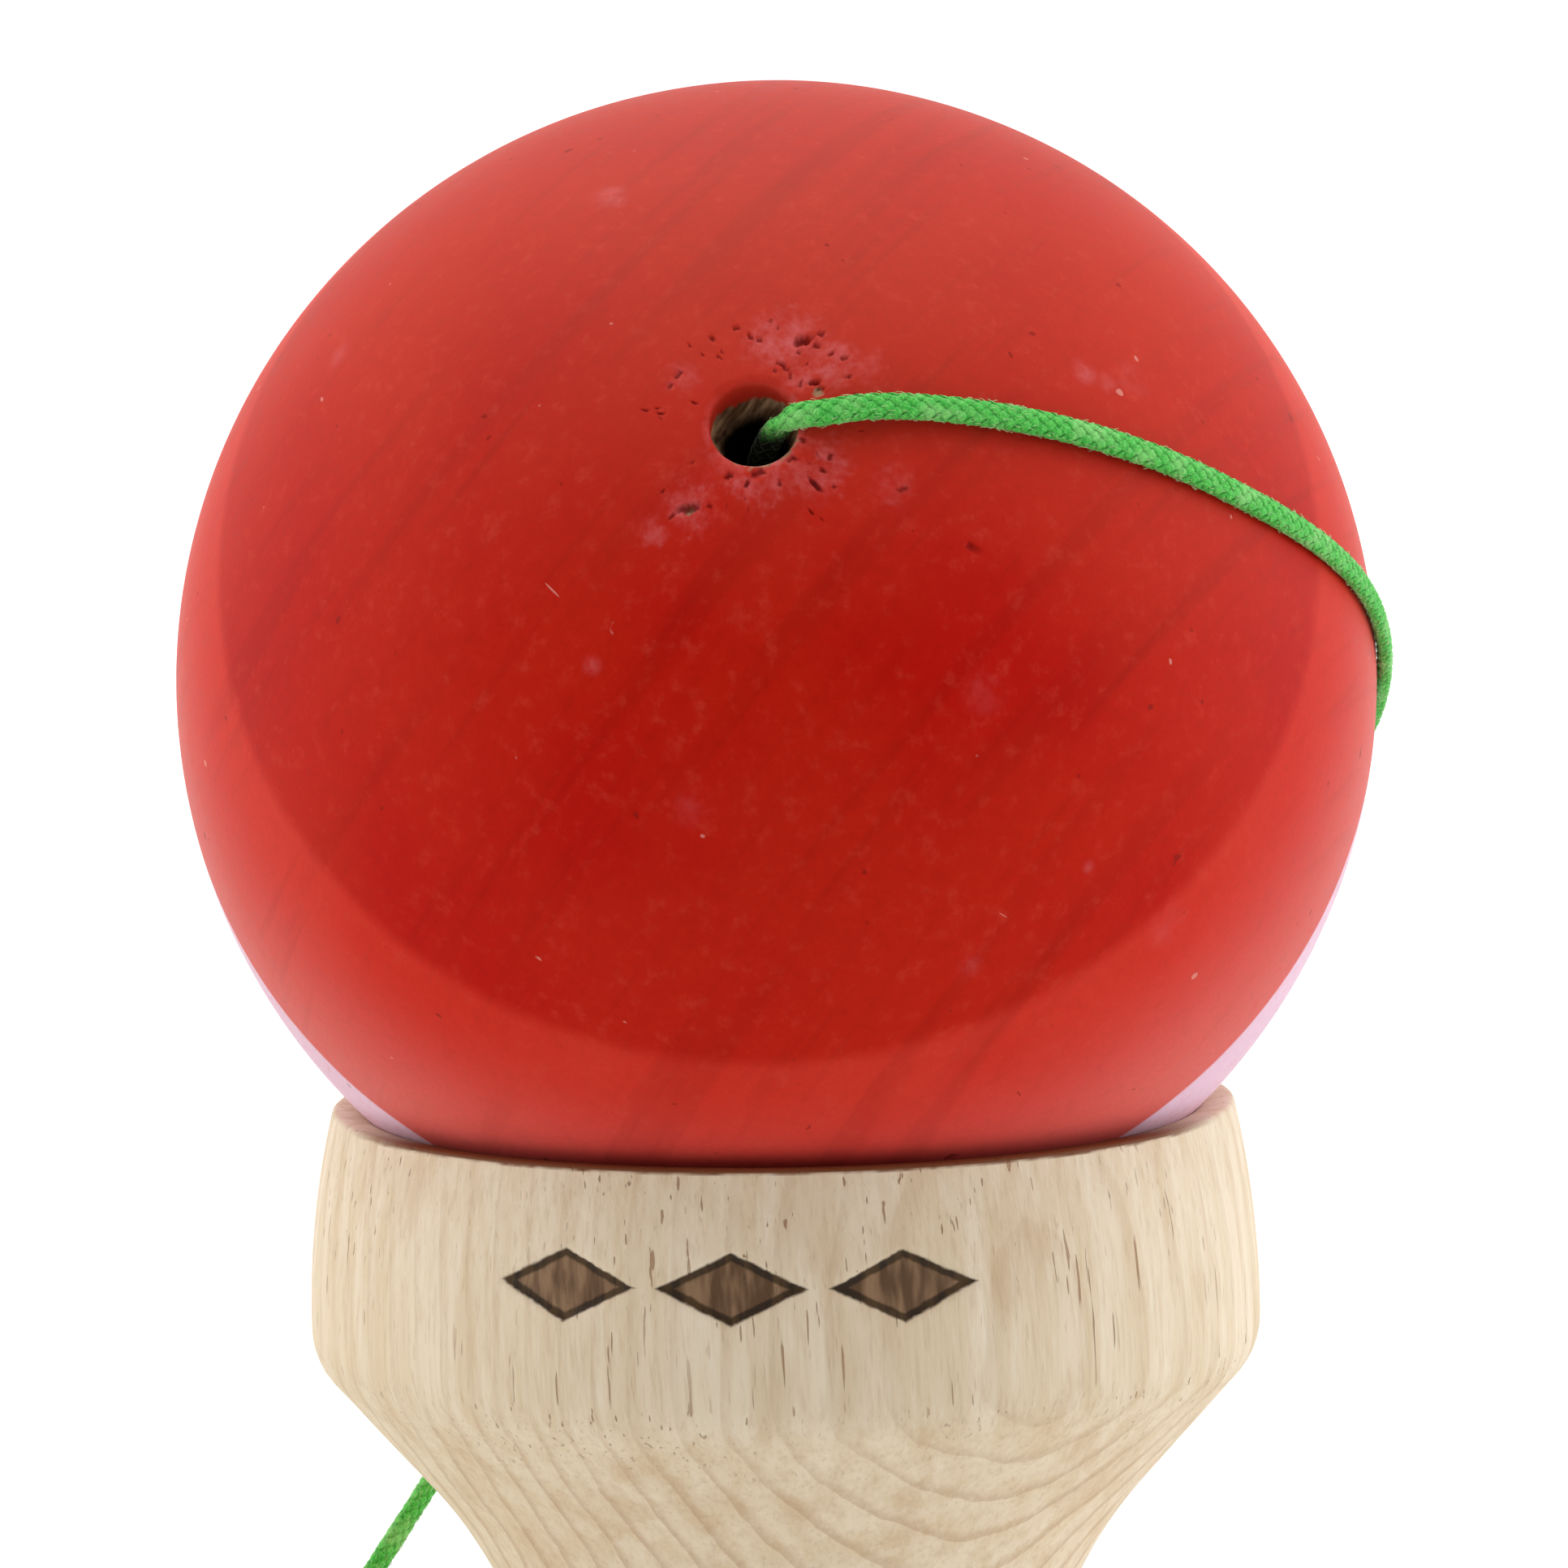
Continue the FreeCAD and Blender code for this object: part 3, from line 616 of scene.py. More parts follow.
# Radii and places along the string hole's way from the ball's centre, in mm
OUTER_R = 30.0
HOLE_LIP = 2.06
HOLE_WALL = 1.38
FUNNEL_LOW = 26.9
FUNNEL_TOP = 28.5
CHAMBER_R = 5.6
CHAMBER_TOP = 19.0
CHAMBER_TIP = 22.9
BORE_R = 8.25
BORE_TOP = 7.9
BORE_MOUTH_R = 9.7
BORE_BEVEL = 2.2


def ball_profile():
    """Once round the wall: out of the string hole, over the ball, up the bore and the chamber."""
    lip_up = math.sqrt(OUTER_R ** 2 - HOLE_LIP ** 2)
    mouth_up = -math.sqrt(OUTER_R ** 2 - BORE_MOUTH_R ** 2)
    hole_low = CHAMBER_TIP - HOLE_WALL * (CHAMBER_TIP - CHAMBER_TOP) / CHAMBER_R
    corners = [
        (HOLE_WALL, hole_low, None), (HOLE_WALL, FUNNEL_LOW, None),
        (HOLE_LIP - 0.14, FUNNEL_TOP, None), (HOLE_LIP, lip_up, -OUTER_R),
        (OUTER_R, 0.0, -OUTER_R), (BORE_MOUTH_R, mouth_up, None),
        (BORE_R, mouth_up + BORE_BEVEL, None), (BORE_R, BORE_TOP, None),
        (CHAMBER_R, BORE_TOP, None), (CHAMBER_R, CHAMBER_TOP, None), (HOLE_WALL, hole_low, None),
    ]
    profile = outline(corners, soft=0.16, step=0.08)
    fine_above = math.sqrt(OUTER_R ** 2 - 11.5 ** 2)

    def spacing(point):
        if point[1] > fine_above or (point[0] < 2.2 and point[1] > 24):
            return 0.1
        return 0.6 if point[0] > 9 else 0.9

    return thin(profile, spacing)[:-1]


def small_dents():
    """Many small dents in a ring round the hole, in DENTS' form."""
    draws = np.random.default_rng(11)
    return [(away * math.cos(turn), away * math.sin(turn) - 0.3, long, 0.45 * long, tilt, 0.08)
            for away, turn, long, tilt in zip(
                draws.uniform(2.7, 5.6, 34), draws.uniform(0, 2 * math.pi, 34),
                draws.uniform(0.09, 0.20, 34), draws.normal(-38, 22, 34))]


def wear_round_hole(local, right, up):
    """Push out in mm, and shares of dent, chalk and raw wood, at points near the string hole."""
    push, dent, chalk, raw = np.zeros((4, len(local)))
    ragged = waves(local, 3.1, 4.0) * 0.35 + waves(local, 8.0, 9.0) * 0.2
    on_face = np.hypot(right, up) > HOLE_LIP - 0.05
    for x, y, long, wide, tilt, depth in DENTS + small_dents():
        turn = math.radians(tilt)
        dx, dy = right - x, up - y - DENTS_UP
        a = (dx * math.cos(turn) + dy * math.sin(turn)) / long
        b = (-dx * math.sin(turn) + dy * math.cos(turn)) / wide
        hollow = 1 - smooth_step(np.sqrt(a * a + b * b) + ragged, 0.55, 1.15)
        push = np.minimum(push, -depth * hollow * on_face)
        dent = np.maximum(dent, 0.75 * hollow * on_face)
    for x, y, radius, strength in RUBBED:
        away = np.hypot(right - x, up - y - DENTS_UP) / radius
        chalk = np.maximum(chalk, 1.25 * strength * (1 - smooth_step(away + ragged, 0.1, 1)))
    for x, y, radius in CHIPS:
        away = np.hypot(right - x, up - y - DENTS_UP) / radius
        near = 1 - smooth_step(away + ragged, 0.6, 1)
        raw = np.maximum(raw, near)
        push = push - 0.06 * near
    return push, dent, chalk, raw


def make_ball():
    points, faces = turn_on_lathe(ball_profile(), circle(720), HOLE_AXES, BALL, ring=True)
    local = (points - np.array(BALL)) / MM
    right, up, out = (local @ np.array(way) for way in HOLE_AXES)
    spread = np.hypot(right, up)
    reach = np.linalg.norm(local, axis=1)
    push, dent, chalk, raw = np.zeros((4, len(points)))
    near = np.nonzero((out > 24) & (spread < 14))[0]
    push[near], dent[near], chalk[near], raw[near] = wear_round_hole(
        local[near], right[near], up[near])
    # paint runs into the hole at its upper left, and the lower lip is bare
    upper = 0.5 + 0.5 * np.cos(np.arctan2(up, right) - math.radians(112))
    ragged = waves(local, 3.5, 1.0)
    inside = (spread < HOLE_LIP + 0.35) & (out > 0)
    below = np.sqrt(np.maximum(OUTER_R ** 2 - spread ** 2, 0)) - out
    depth = below + 0.22 * waves(local, 2.6, 2.0) + 0.10 * waves(local, 7.0, 6.0)
    painted_down = 1.4 * upper ** 1.5
    raw_lip = smooth_step(depth, painted_down - 0.08, painted_down + 0.10)
    raw_lip *= 1 - smooth_step(spread + 0.3 * ragged, HOLE_LIP + 0.08, HOLE_LIP + 0.22)
    raw[inside] = np.maximum(raw[inside], raw_lip[inside])
    rubbed_lip = 1 - smooth_step(np.abs(spread - HOLE_LIP - 0.12 + 0.1 * ragged), 0.08, 0.22)
    chalk = np.maximum(chalk, 0.95 * rubbed_lip * (1 - upper) * (out > 20))
    # chamber and bore are bare wood, paler towards the bore's mouth
    raw[(spread < BORE_MOUTH_R - 0.1) & (out < CHAMBER_TIP + 0.05) & (reach < 29.4)] = 1.0
    bore = smooth_step(-out, -16.0, -12.0) * (raw > 0.5)
    push[inside] += 0.05 * waves(local[inside], 2.2, 7.0) - 0.05
    # the hole is worn wider at its upper side
    wear = 0.12 * upper ** 2 * (1 - smooth_step(spread, HOLE_LIP, HOLE_LIP + 1.8))
    wear *= (1 - smooth_step(below, 0.9, 2.4)) * (out > 20) * (spread > 1)
    sideways = np.outer(right, HOLE_RIGHT) + np.outer(up, HOLE_UP)
    points = points + sideways / np.maximum(spread, 1e-6)[:, None] * (wear * MM)[:, None]
    outside = reach > 29.9
    push[outside] += 0.012 * waves(local[outside], 0.12, 3.0) - 0.012
    ways = local / np.maximum(reach, 1e-9)[:, None]
    points = points + ways * (push * MM)[:, None]
    piece = new_piece("ball", points, faces, painted_wood(), "ball", ["tama"])
    # painted shade, darker the deeper into the string hole
    soot = smooth_step(depth, 1.7, 3.0) * inside
    paint(piece, dent=dent, chalk=chalk, raw=raw, soot=soot, bore=bore)


# ---------- Crosspiece ----------
STRING_HOLE_R = 1.5
KNOT_POCKET_R = 3.0
SARADO_CORNERS = [
    (0.0, 9.0, -25.2), (19.3, 0.0, None), (20.5, 0.0, 42.8), (21.6, 9.7, 3.6),
    (20.73, 12.04, None), (17.0, 16.55, -19.4), (12.4, 29.1, None), (12.4, 38.6, -23.6),
    (18.0, 53.9, None), (22.85, 59.4, 3.6), (23.95, 61.9, 45.7), (22.68, 73.0, None),
    (22.3, 73.0, None), (21.0, 72.84, None), (20.85, 72.3, -24.88), (0.0, 61.0, None),
]


def mark_burn(points):
    """How deeply burnt each point of the big cup's wall is, from 0 to 1."""
    x = points[:, 0] - BALL.x
    y = points[:, 1]
    around = np.arctan2(x, -y) * WALL_R
    height = points[:, 2] / MM - MARK_Z
    burn = np.zeros(len(points))
    for mark in range(3):
        across = around - FIRST_MARK - MARK_PITCH * mark
        size = np.abs(across) / MARK_HALF_WIDTH + np.abs(height) / MARK_HALF_HEIGHT
        burn = np.maximum(burn, 1 - smooth_step(size, 0.92, 1.04))
    on_wall = (points[:, 2] / MM > 62) & (np.hypot(x, y) / MM > INNER_R)
    return burn * on_wall


def sarado_angles():
    """Close together at the front, where the marks are, and wider behind."""
    front = np.radians(np.arange(-48, 32, 0.32)) - math.pi / 2
    rest = np.radians(np.arange(32, 312, 0.9)) - math.pi / 2
    return np.concatenate([front, rest])


def make_sarado():
    middle = (BALL.x, 0, 0)
    profile = outline(SARADO_CORNERS, soft=0.15, step=0.1)[::-1]
    profile = thin(profile, lambda p: 0.06 if p[1] > 72.4 and p[0] > 21 else
                   0.15 if p[1] > 62.5 and p[0] > 21 else 0.45)
    points, faces = turn_on_lathe(profile[::-1], sarado_angles(), ALONG_Z, middle)
    burn = mark_burn(points)
    uneven = waves(points, 160.0, 3.0) * 0.05 + waves(points, 700.0, 5.0) * 0.012 - 0.02
    uneven *= smooth_step(points[:, 2] / MM, 0.3, 1.5)
    points = push_out(points, uneven - 0.16 * burn, middle, 2)
    # the rim's front edge is stained brown, with painted contact shadow where the ball sits on it
    rim_edge_height = points[:, 2] / MM + 0.05 * waves(points, 500.0, 1.0) + 0.03 * waves(points, 1900.0, 4.0)
    worn = smooth_step(rim_edge_height, 72.72, 72.80) * smooth_step(-points[:, 1] / MM, 6, 14)
    wood = beech("beech_sarado", "Z", Vector((BALL.x + 28 * MM, -43 * MM, 0)), marked=True)
    piece = new_piece("crosspiece", points, faces, wood, "handset", ["sarado"])
    paint(piece, worn=np.clip(worn, 0, 1))
    drill(piece, (7.92, -16.0), (7.22, 14.0), ALONG_X)
    drill(piece, (STRING_HOLE_R, -15.0), (STRING_HOLE_R, 15.0), ALONG_Y)


def drill(piece, start, end, axes):
    """Cut a hole round an axis through the crossing, between two (radius, along) in mm."""
    profile = np.array([(0.0, start[1]), start, end, (0.0, end[1])])
    points, faces = turn_on_lathe(profile, circle(96), axes, CROSSING)
    mesh = bpy.data.meshes.new("drill")
    mesh.from_pydata([tuple(point) for point in points], [], faces)
    tool = link(bpy.data.objects.new("drill", mesh))
    cutter = piece.modifiers.new("drill", "BOOLEAN")
    cutter.object = tool
    cutter.operation = "DIFFERENCE"
    cutter.solver = "EXACT"
    with bpy.context.temp_override(object=piece, active_object=piece):
        bpy.ops.object.modifier_apply(modifier="drill")
    bpy.data.objects.remove(tool)


# ---------- Handle ----------
KEN_CORNERS = [
    (0.0, 8.5, -22.06), (17.4, 0.0, None), (18.4, 0.0, 45.6), (19.4, 9.5, 9.5),
    (17.6, 15.0, -19.0), (6.7, 31.0, None), (7.2, 56.0, None), (7.2, 72.0, None),
    (7.9, 77.0, None), (7.2, 105.0, 400.0), (2.7, 160.0, 2.82), (0.0, 162.0, None),
]


def make_ken():
    profile = outline(KEN_CORNERS, soft=0.3, step=0.15)
    profile = thin(profile, lambda p: 0.35)
    origin = Vector((ken_low.x, 0, KEN_Z))
    points, faces = turn_on_lathe(profile, circle(288), ALONG_X, origin)
    spread = np.hypot(points[:, 1], points[:, 2] - KEN_Z)
    uneven = waves(points, 200.0, 8.0) * 0.04 + waves(points, 900.0, 2.0) * 0.01 - 0.05
    uneven *= smooth_step(spread / MM, 1.0, 2.5)
    points = push_out(points, uneven, origin, 0)
    wood = beech("beech_ken", "X", Vector((0, 14 * MM, KEN_Z - 30 * MM)), 0.98, 0.28)
    piece = new_piece("handle", points, faces, wood, "handset", ["ken"])
    drill(piece, (KNOT_POCKET_R, -9.0), (KNOT_POCKET_R, -2.6), ALONG_Y)
    drill(piece, (STRING_HOLE_R, -3.0), (STRING_HOLE_R, 9.0), ALONG_Y)


# ---------- Bead ----------
BEAD_R = 5.25
BEAD_HOLE_R = 1.5
BEAD_OUT = 16.9


def make_bead():
    reach = math.sqrt(BEAD_R ** 2 - BEAD_HOLE_R ** 2)
    corners = [(BEAD_HOLE_R, -reach, BEAD_R), (BEAD_R, 0.0, BEAD_R), (BEAD_HOLE_R, reach, None),
               (BEAD_HOLE_R, -reach, None)]
    profile = outline(corners, soft=0.15, step=0.1)
    profile = thin(profile, lambda p: 0.25)[:-1]
    middle = BALL + HOLE_WAY * (BEAD_OUT * MM)
    points, faces = turn_on_lathe(profile, circle(128), HOLE_AXES, middle, ring=True)
    wood = beech("beech_bead", "Z", Vector((BALL.x + 9 * MM, -4 * MM, 0)), 0.85, 0.3)
    new_piece("inner_bead", points, faces, wood, "bead", ["tama_bead"])


# ---------- String ----------
STRING_WIDTH = 1.35
STRING_THICK = 0.85
STRING_STEP = 0.12
# From the ball's centre, in mm: out of the hole, round the ball's right side, into the groove
# at the back, over the cup's wall and tight down to the handle
BALL_TO_HANDLE = [
    (-0.7, -21.4, 11.8), (-0.5, -23.1, 12.9), (-0.1, -24.3, 13.7), (0.4, -25.4, 14.5),
    (1.1, -26.3, 14.9), (2.4, -26.6, 15.0), (4.5, -26.3, 15.3), (7.9, -25.4, 15.1),
    (12.9, -23.9, 14.2), (18.2, -21.2, 12.4), (22.6, -17.8, 10.1), (26.3, -13.4, 7.7),
    (29.0, -8.3, 5.0), (30.4, -3.0, 1.7), (30.4, 2.6, -2.0), (29.0, 8.3, -5.5),
    (26.2, 13.2, -8.8), (22.2, 17.4, -11.9), (17.3, 20.6, -14.7), (12.0, 22.7, -17.2),
    (6.8, 23.7, -19.8), (2.2, 24.0, -22.7), (-2.4, 23.9, -25.9), (-6.8, 23.3, -29.2),
    (-10.9, 21.8, -32.5), (-14.0, 19.8, -36.7), (-29.9, 9.5, -59.6),
]
# From the crossing of handle and crosspiece: off the winding and into the crosspiece's hole
HANDLE_TO_HOLE = [
    (-26.3, 5.5, 5.8), (-22.0, 7.8, 3.6), (-16.0, 9.4, 2.0), (-10.0, 11.2, 1.0),
    (-5.0, 12.8, 0.4), (-2.6, 13.5, 0.1), (-1.1, 13.8, 0.0), (0.0, 13.1, 0.0),
    (0.0, 11.8, 0.0),
]
WINDING_LEFT = -33.0
WINDING_PITCH = 1.45
WINDING_R = 7.95
WINDING_FIRST = -25.0
WINDING_STEP = 30.0
WINDING_STEPS = 44


def string_route():
    """Control points of the whole free string, in metres."""
    route = [BALL + Vector(point) * MM for point in BALL_TO_HANDLE]
    for step in range(WINDING_STEPS + 1):
        turned = math.radians(WINDING_FIRST - WINDING_STEP * step)
        along = WINDING_LEFT + WINDING_PITCH * WINDING_STEP * step / 360
        route.append(CROSSING + Vector((along, WINDING_R * math.cos(turned),
                                        WINDING_R * math.sin(turned))) * MM)
    return route + [CROSSING + Vector(point) * MM for point in HANDLE_TO_HOLE]


def smooth_line(name, route, step):
    """Points along the route's NURBS spline, step metres apart."""
    data = bpy.data.curves.new(name, "CURVE")
    data.dimensions = "3D"
    spline = data.splines.new("NURBS")
    spline.points.add(len(route) - 1)
    for point, place in zip(spline.points, route):
        point.co = (*place, 1.0)
    spline.order_u = 3
    spline.use_endpoint_u = True
    spline.resolution_u = 24
    curve = link(bpy.data.objects.new(name, data))
    bpy.context.view_layer.update()
    mesh = bpy.data.meshes.new_from_object(curve)
    line_points = np.array([vertex.co for vertex in mesh.vertices])
    bpy.data.objects.remove(curve)
    bpy.data.meshes.remove(mesh)
    return resample(line_points, step)


def unit(vectors):
    return vectors / np.maximum(np.linalg.norm(vectors, axis=1, keepdims=True), 1e-12)


def facing(path):
    """Which way the string's flat side faces: away from what it lies on or nears."""
    center = np.array(BALL)
    crossing = np.array(CROSSING)
    from_ball = path - center
    from_axis = (path - crossing) * np.array((1, 1, 0))
    from_ken = (path - crossing) * np.array((0, 1, 1))
    gap_ball = np.abs(np.linalg.norm(from_ball, axis=1) - BALL_R) / MM
    wall = np.where(path[:, 2] > CROSSING.z + 15 * MM, 23.4, 12.4)
    gap_wall = np.abs(np.linalg.norm(from_axis, axis=1) / MM - wall)
    gap_wall += np.where(path[:, 2] > RIM_Z, (path[:, 2] - RIM_Z) / MM * 3, 0)
    on_handle = path[:, 0] < CROSSING.x - 12 * MM
    gap_ken = np.abs(np.linalg.norm(from_ken, axis=1) / MM - 7.4) + np.where(on_handle, 0, 30)
    ways = np.zeros_like(path)
    for gap, away in ((gap_ball, from_ball), (gap_wall, from_axis), (gap_ken, from_ken)):
        ways += unit(away) / (gap + 0.6)[:, None] ** 2
    # inside the ball's hole the string turns its edge to the front
    depth = (BALL_R - np.linalg.norm(from_ball, axis=1)) / MM
    in_hole = smooth_step(depth, 0.0, 1.6) * (from_ball @ np.array(HOLE_WAY) > 0.7 * BALL_R)
    ways = unit(ways) * (1 - in_hole)[:, None] + np.outer(in_hole, HOLE_UP)
    # the tight stretch down to the handle turns its edge to the front
    ahead = np.gradient(path, axis=0)
    edge_on = unit(np.cross(ahead, (0, 1, 0)))
    edge_on *= np.sign((edge_on * from_axis).sum(axis=1))[:, None]
    loose = (path[:, 2] < RIM_Z - 8 * MM) & (path[:, 2] > CROSSING.z + 10 * MM)
    ways += edge_on * (0.25 * loose)[:, None]
    return unit(ways)


def sweep(lines, ups, sections):
    """One closed tube per line: lines and ups are (tubes, length, 3), sections (sides, 2)."""
    tubes, length, _ = lines.shape
    sides = len(sections)
    ahead = np.gradient(lines, axis=1)
    ahead /= np.linalg.norm(ahead, axis=2, keepdims=True)
    across = np.cross(ahead, ups)
    across /= np.linalg.norm(across, axis=2, keepdims=True)
    ups = np.cross(across, ahead)
    points = (lines[:, :, None] + across[:, :, None] * sections[None, None, :, :1]
              + ups[:, :, None] * sections[None, None, :, 1:])
    points = points.reshape(-1, 3)
    grid = np.arange(tubes * length * sides).reshape(tubes, length, sides)
    here = grid[:, :-1]
    there = grid[:, 1:]
    quads = np.stack([here, np.roll(here, -1, 2), np.roll(there, -1, 2), there], -1)
    faces = quads.reshape(-1, 4).tolist()
    faces += grid[:, 0, ::-1].tolist()
    faces += grid[:, -1].tolist()
    return points, faces


FUZZ_PER_MM = 16
FUZZ_LENGTH = 0.38
FUZZ_R = 0.014
CARRIERS = 5
BRAID_PITCH = 4.0
STRAND_HALF_WIDTH = 0.27
STRAND_HALF_THICK = 0.1
STRAND_SIDES = 6
WEAVE = 0.055


def braid(path, ups):
    """Points, faces and painted shade share of a flattened round braid along a path."""
    steps = walk(path) / MM
    ahead = unit(np.gradient(path, axis=0))
    across = unit(np.cross(ahead, ups))
    ups = np.cross(across, ahead)
    half_width = STRING_WIDTH / 2 - STRAND_HALF_THICK - WEAVE
    half_thick = STRING_THICK / 2 - STRAND_HALF_THICK - WEAVE
    rate = 2 * math.pi / BRAID_PITCH
    lines = []
    outs = []
    lows = []
    for hand in (1, -1):
        for carrier in range(CARRIERS):
            turn = 2 * math.pi * carrier / CARRIERS + hand * rate * steps
            lift = hand * WEAVE * np.cos(CARRIERS * rate * steps)
            out = unit(across * (np.cos(turn) / half_width)[:, None]
                       + ups * (np.sin(turn) / half_thick)[:, None])
            spot = (across * (np.cos(turn) * half_width)[:, None]
                    + ups * (np.sin(turn) * half_thick)[:, None])
            lines.append(path + (spot + out * lift[:, None]) * MM)
            outs.append(out)
            lows.append(0.5 - 0.5 * lift / WEAVE)
    angles = circle(STRAND_SIDES)
    section = np.stack([np.cos(angles) * STRAND_HALF_WIDTH,
                        np.sin(angles) * STRAND_HALF_THICK], 1) * MM
    points, faces = sweep(np.array(lines), np.array(outs), section)
    # painted shade share, from passing under and from the strand's inner side
    low = np.repeat(np.array(lows).reshape(-1), STRAND_SIDES)
    inner_side_shade = np.tile(1 - np.sin(angles), len(low) // STRAND_SIDES) / 2
    return points, faces, np.clip(0.55 * low + 0.45 * inner_side_shade, 0, 1)


def fuzz(path, ups, draws):
    """Short loose fibres that stand off the braid, mostly at its two edges."""
    count = int(FUZZ_PER_MM * len(path) * STRING_STEP)
    spots = draws.integers(2, len(path) - 2, count)
    ahead = unit(np.gradient(path, axis=0))[spots]
    across = unit(np.cross(ahead, ups[spots]))
    over = np.cross(across, ahead)
    turn = draws.integers(0, 2, count) * math.pi + draws.normal(0, 0.6, count)
    out = across * np.cos(turn)[:, None] + over * np.sin(turn)[:, None]
    reach = 1 / np.sqrt((np.cos(turn) / (STRING_WIDTH / 2 - 0.05)) ** 2
                        + (np.sin(turn) / (STRING_THICK / 2 - 0.05)) ** 2)
    root = path[spots] + out * (reach * MM)[:, None]
    length = draws.uniform(0.4, 1.0, count) * FUZZ_LENGTH * MM
    lean = unit(ahead * draws.choice((-1.0, 1.0), count)[:, None] * 1.3
                + out * draws.uniform(0.1, 0.7, count)[:, None])
    share = np.linspace(0, 1, 4)[None, :, None]
    lines = root[:, None] + lean[:, None] * share * length[:, None, None]
    lines = lines + out[:, None] * (share * (1 - share) * 0.4) * length[:, None, None]
    angles = circle(3)
    section = np.stack([np.cos(angles), np.sin(angles)], 1) * FUZZ_R * MM
    return sweep(lines, np.repeat(out[:, None], 4, 1) + 0.01, section)


def make_string(material):
    path = smooth_line("string_line", string_route(), STRING_STEP * MM)
    ups = facing(path)
    points, faces, low = braid(path, ups)
    fuzz_points, fuzz_faces = fuzz(path, ups, np.random.default_rng(5))
    faces += [[corner + len(points) for corner in face] for face in fuzz_faces]
    # the fuzz gets -0.6, which the material paints as a pale highlight
    low = np.concatenate([low, np.full(len(fuzz_points), -0.6)])
    points = np.concatenate([points, fuzz_points])
    piece = new_piece("string_braid", points, faces, material, None, [])
    # painted shade: darker the deeper the string goes into the ball's hole
    depth = (BALL_R - np.linalg.norm(points - np.array(BALL), axis=1)) / MM
    near_hole = (points - np.array(BALL)) @ np.array(HOLE_WAY) > 0.7 * BALL_R
    paint(piece, low=low, soot=smooth_step(depth, 0.7, 2.0) * near_hole)
    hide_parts("string", "string_wrap", "string_tail")
    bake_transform(piece)
    return piece, path


def make_held_string(name, start, end, up, body, node, material):
    """The string inside a hole."""
    count = int((end - start).length / (STRING_STEP * MM)) + 1
    path = np.array([start.lerp(end, i / (count - 1)) for i in range(count)])
    points, faces, low = braid(path, np.tile(np.array(up), (count, 1)))
    piece = new_piece(name, points, faces, material, body, [node])
    # the braid's painted shade share
    paint(piece, low=low)
    return piece


KNOT_R = 1.45
KNOT_STRING_R = 0.5
KNOT_STEPS = 240
KNOT_SIDES = 12


def make_knot(name, middle, axes, body, node, material):
    """An overhand knot, as a closed three-lobed loop of string."""
    turns = circle(KNOT_STEPS)
    across, over, along = (np.array(axis) for axis in axes)
    reach = (2 + np.cos(3 * turns)) / 3 * KNOT_R
    shape = (np.outer(reach * np.cos(2 * turns), across) + np.outer(reach * np.sin(2 * turns), over)
             + np.outer(np.sin(3 * turns) * 0.6, along))
    center = shape * MM + np.array(middle)
    ahead = unit(np.roll(center, -1, 0) - np.roll(center, 1, 0))
    side = unit(np.cross(ahead, along))
    up = np.cross(side, ahead)
    angles = circle(KNOT_SIDES)
    twist = 1 + 0.06 * np.cos(np.arange(KNOT_STEPS)[:, None] * 0.6 + angles * 3)
    points = (center[:, None] + KNOT_STRING_R * MM * twist[:, :, None]
              * (side[:, None] * np.cos(angles)[None, :, None]
                 + up[:, None] * np.sin(angles)[None, :, None])).reshape(-1, 3)
    grid = np.arange(KNOT_STEPS * KNOT_SIDES).reshape(KNOT_STEPS, KNOT_SIDES)
    ahead_grid = np.roll(grid, -1, 0)
    faces = np.stack([grid, np.roll(grid, -1, 1), np.roll(ahead_grid, -1, 1), ahead_grid],
                     -1).reshape(-1, 4).tolist()
    piece = new_piece(name, points, faces, material, body, [node])
    # the same middling painted shade share all over the knot
    paint(piece, low=np.full(len(points), 0.3))
    return piece


def make_strings():
    material = green_braid()
    piece, path = make_string(material)
    knot_up = 10.3 * MM
    held = [
        make_held_string("string_inside_ball", BALL + HOLE_WAY * (knot_up + 1.6 * MM),
                         BALL + HOLE_WAY * (24.6 * MM), HOLE_UP, "bead", "string_in_tama",
                         material),
        make_knot("bead_knot", BALL + HOLE_WAY * knot_up, HOLE_AXES,
                  "bead", "tama_knot", material),
        make_held_string("string_inside_handle", CROSSING - Vector((0, 3.2 * MM, 0)),
                         CROSSING + Vector((0, 11.9 * MM, 0)), (0, 0, 1), "handset",
                         "string_in_ken", material),
        make_knot("handle_knot", CROSSING - Vector((0, 4.9 * MM, 0)),
                  ((1, 0, 0), (0, 0, 1), (0, -1, 0)), "handset", "ken_knot", material),
    ]


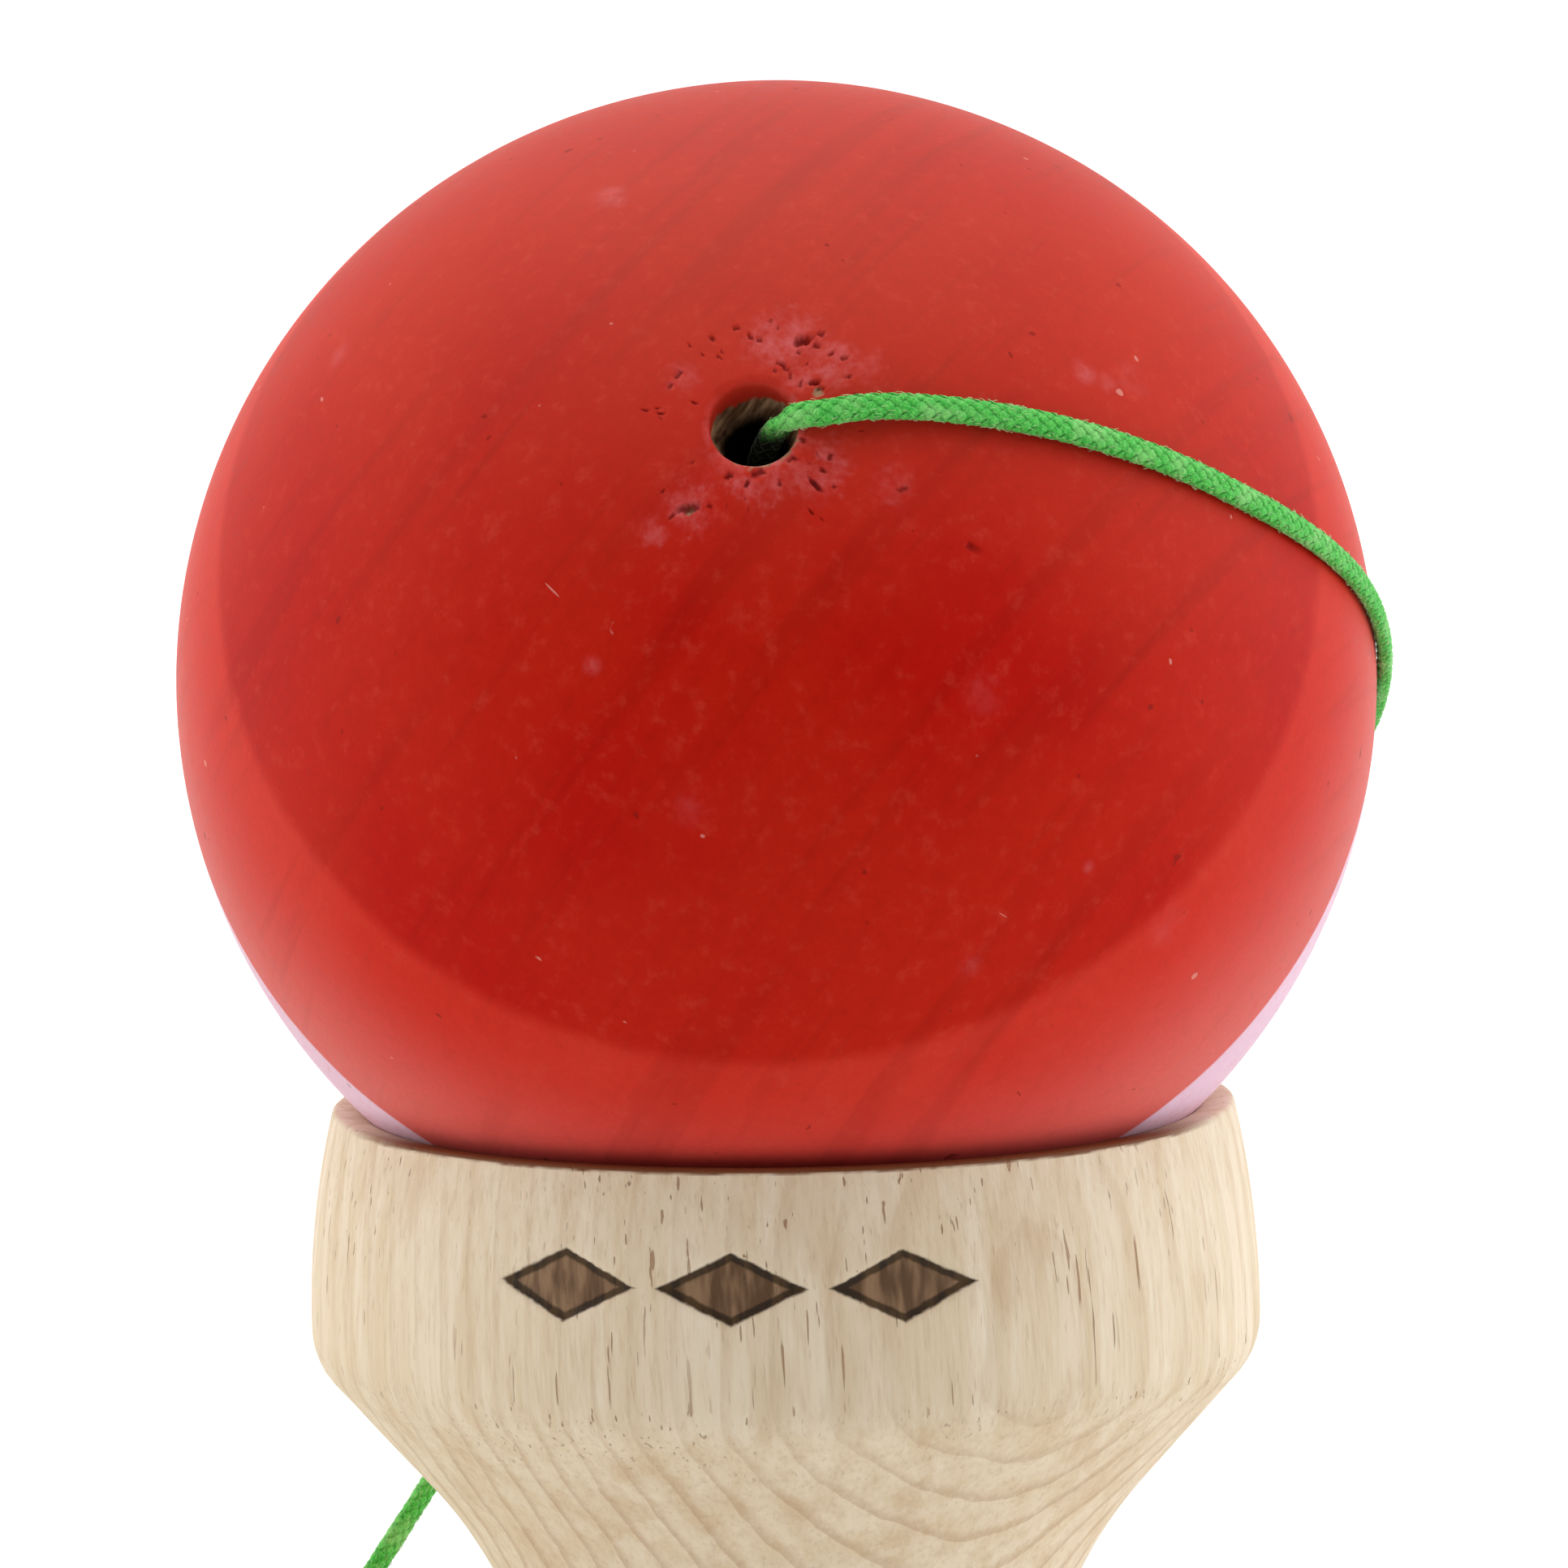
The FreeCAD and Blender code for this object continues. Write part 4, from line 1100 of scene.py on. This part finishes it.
# ---------- Studio ----------
def make_floor():
    """A pale floor that curves up into a backdrop."""
    profile = [(-2.5, 0.0)] + [(2.0 + 0.8 * math.sin(a), 0.8 - 0.8 * math.cos(a))
                               for a in np.linspace(0, math.pi / 2, 24)] + [(2.8, 4.0)]
    half = 4.0
    points = [(side * half, y, z) for y, z in profile for side in (-1, 1)]
    faces = [[2 * i, 2 * i + 1, 2 * i + 3, 2 * i + 2] for i in range(len(profile) - 1)]
    mesh = bpy.data.meshes.new("studio_floor")
    mesh.from_pydata(points, [], faces)
    mesh.shade_smooth()
    mesh.materials.append(studio_floor())
    link(bpy.data.objects.new("studio_floor", mesh))


def add_light(name, place, aim, size, power, colour=(1, 1, 1)):
    data = bpy.data.lights.new(name, "AREA")
    data.shape = "RECTANGLE"
    data.size, data.size_y = size
    data.energy = power
    data.color = colour
    light = link(bpy.data.objects.new(name, data))
    light.location = place
    light.rotation_euler = (Vector(aim) - Vector(place)).to_track_quat("-Z", "Y").to_euler()


def make_lights():
    """Bright from the sides, the top and behind, and dim from the front."""
    world = bpy.data.worlds.new("studio")
    world.use_nodes = True
    tree = world.node_tree
    place = tree.nodes.new("ShaderNodeTexCoord")
    split = tree.nodes.new("ShaderNodeSeparateXYZ")
    dim = tree.nodes.new("ShaderNodeMapRange")
    dim.interpolation_type = "SMOOTHSTEP"
    for number, value in zip((1, 2, 3, 4), (-0.95, 0.35, 0.22, 0.70)):
        dim.inputs[number].default_value = value
    tree.links.new(place.outputs["Generated"], split.inputs[0])
    tree.links.new(split.outputs[1], dim.inputs[0])
    tree.links.new(dim.outputs[0], tree.nodes["Background"].inputs[1])
    tree.nodes["Background"].inputs[0].default_value = (1.0, 1.0, 1.0, 1)
    bpy.context.scene.world = world
    add_light("top", BALL + Vector((-0.05, 0.05, 0.8)), BALL, (1.0, 1.0), 4.5)
    add_light("left", BALL + Vector((-0.9, 0.0, 0.15)), BALL, (0.9, 0.9), 3.6, (1.0, 0.985, 0.95))
    add_light("right", BALL + Vector((0.9, 0.0, 0.15)), BALL, (0.9, 0.9), 5.0, (0.97, 0.985, 1.0))
    bpy.context.scene.view_settings.view_transform = "Standard"


make_camera()
make_strings()
make_ball()
make_sarado()
make_ken()
make_bead()
make_floor()
make_lights()
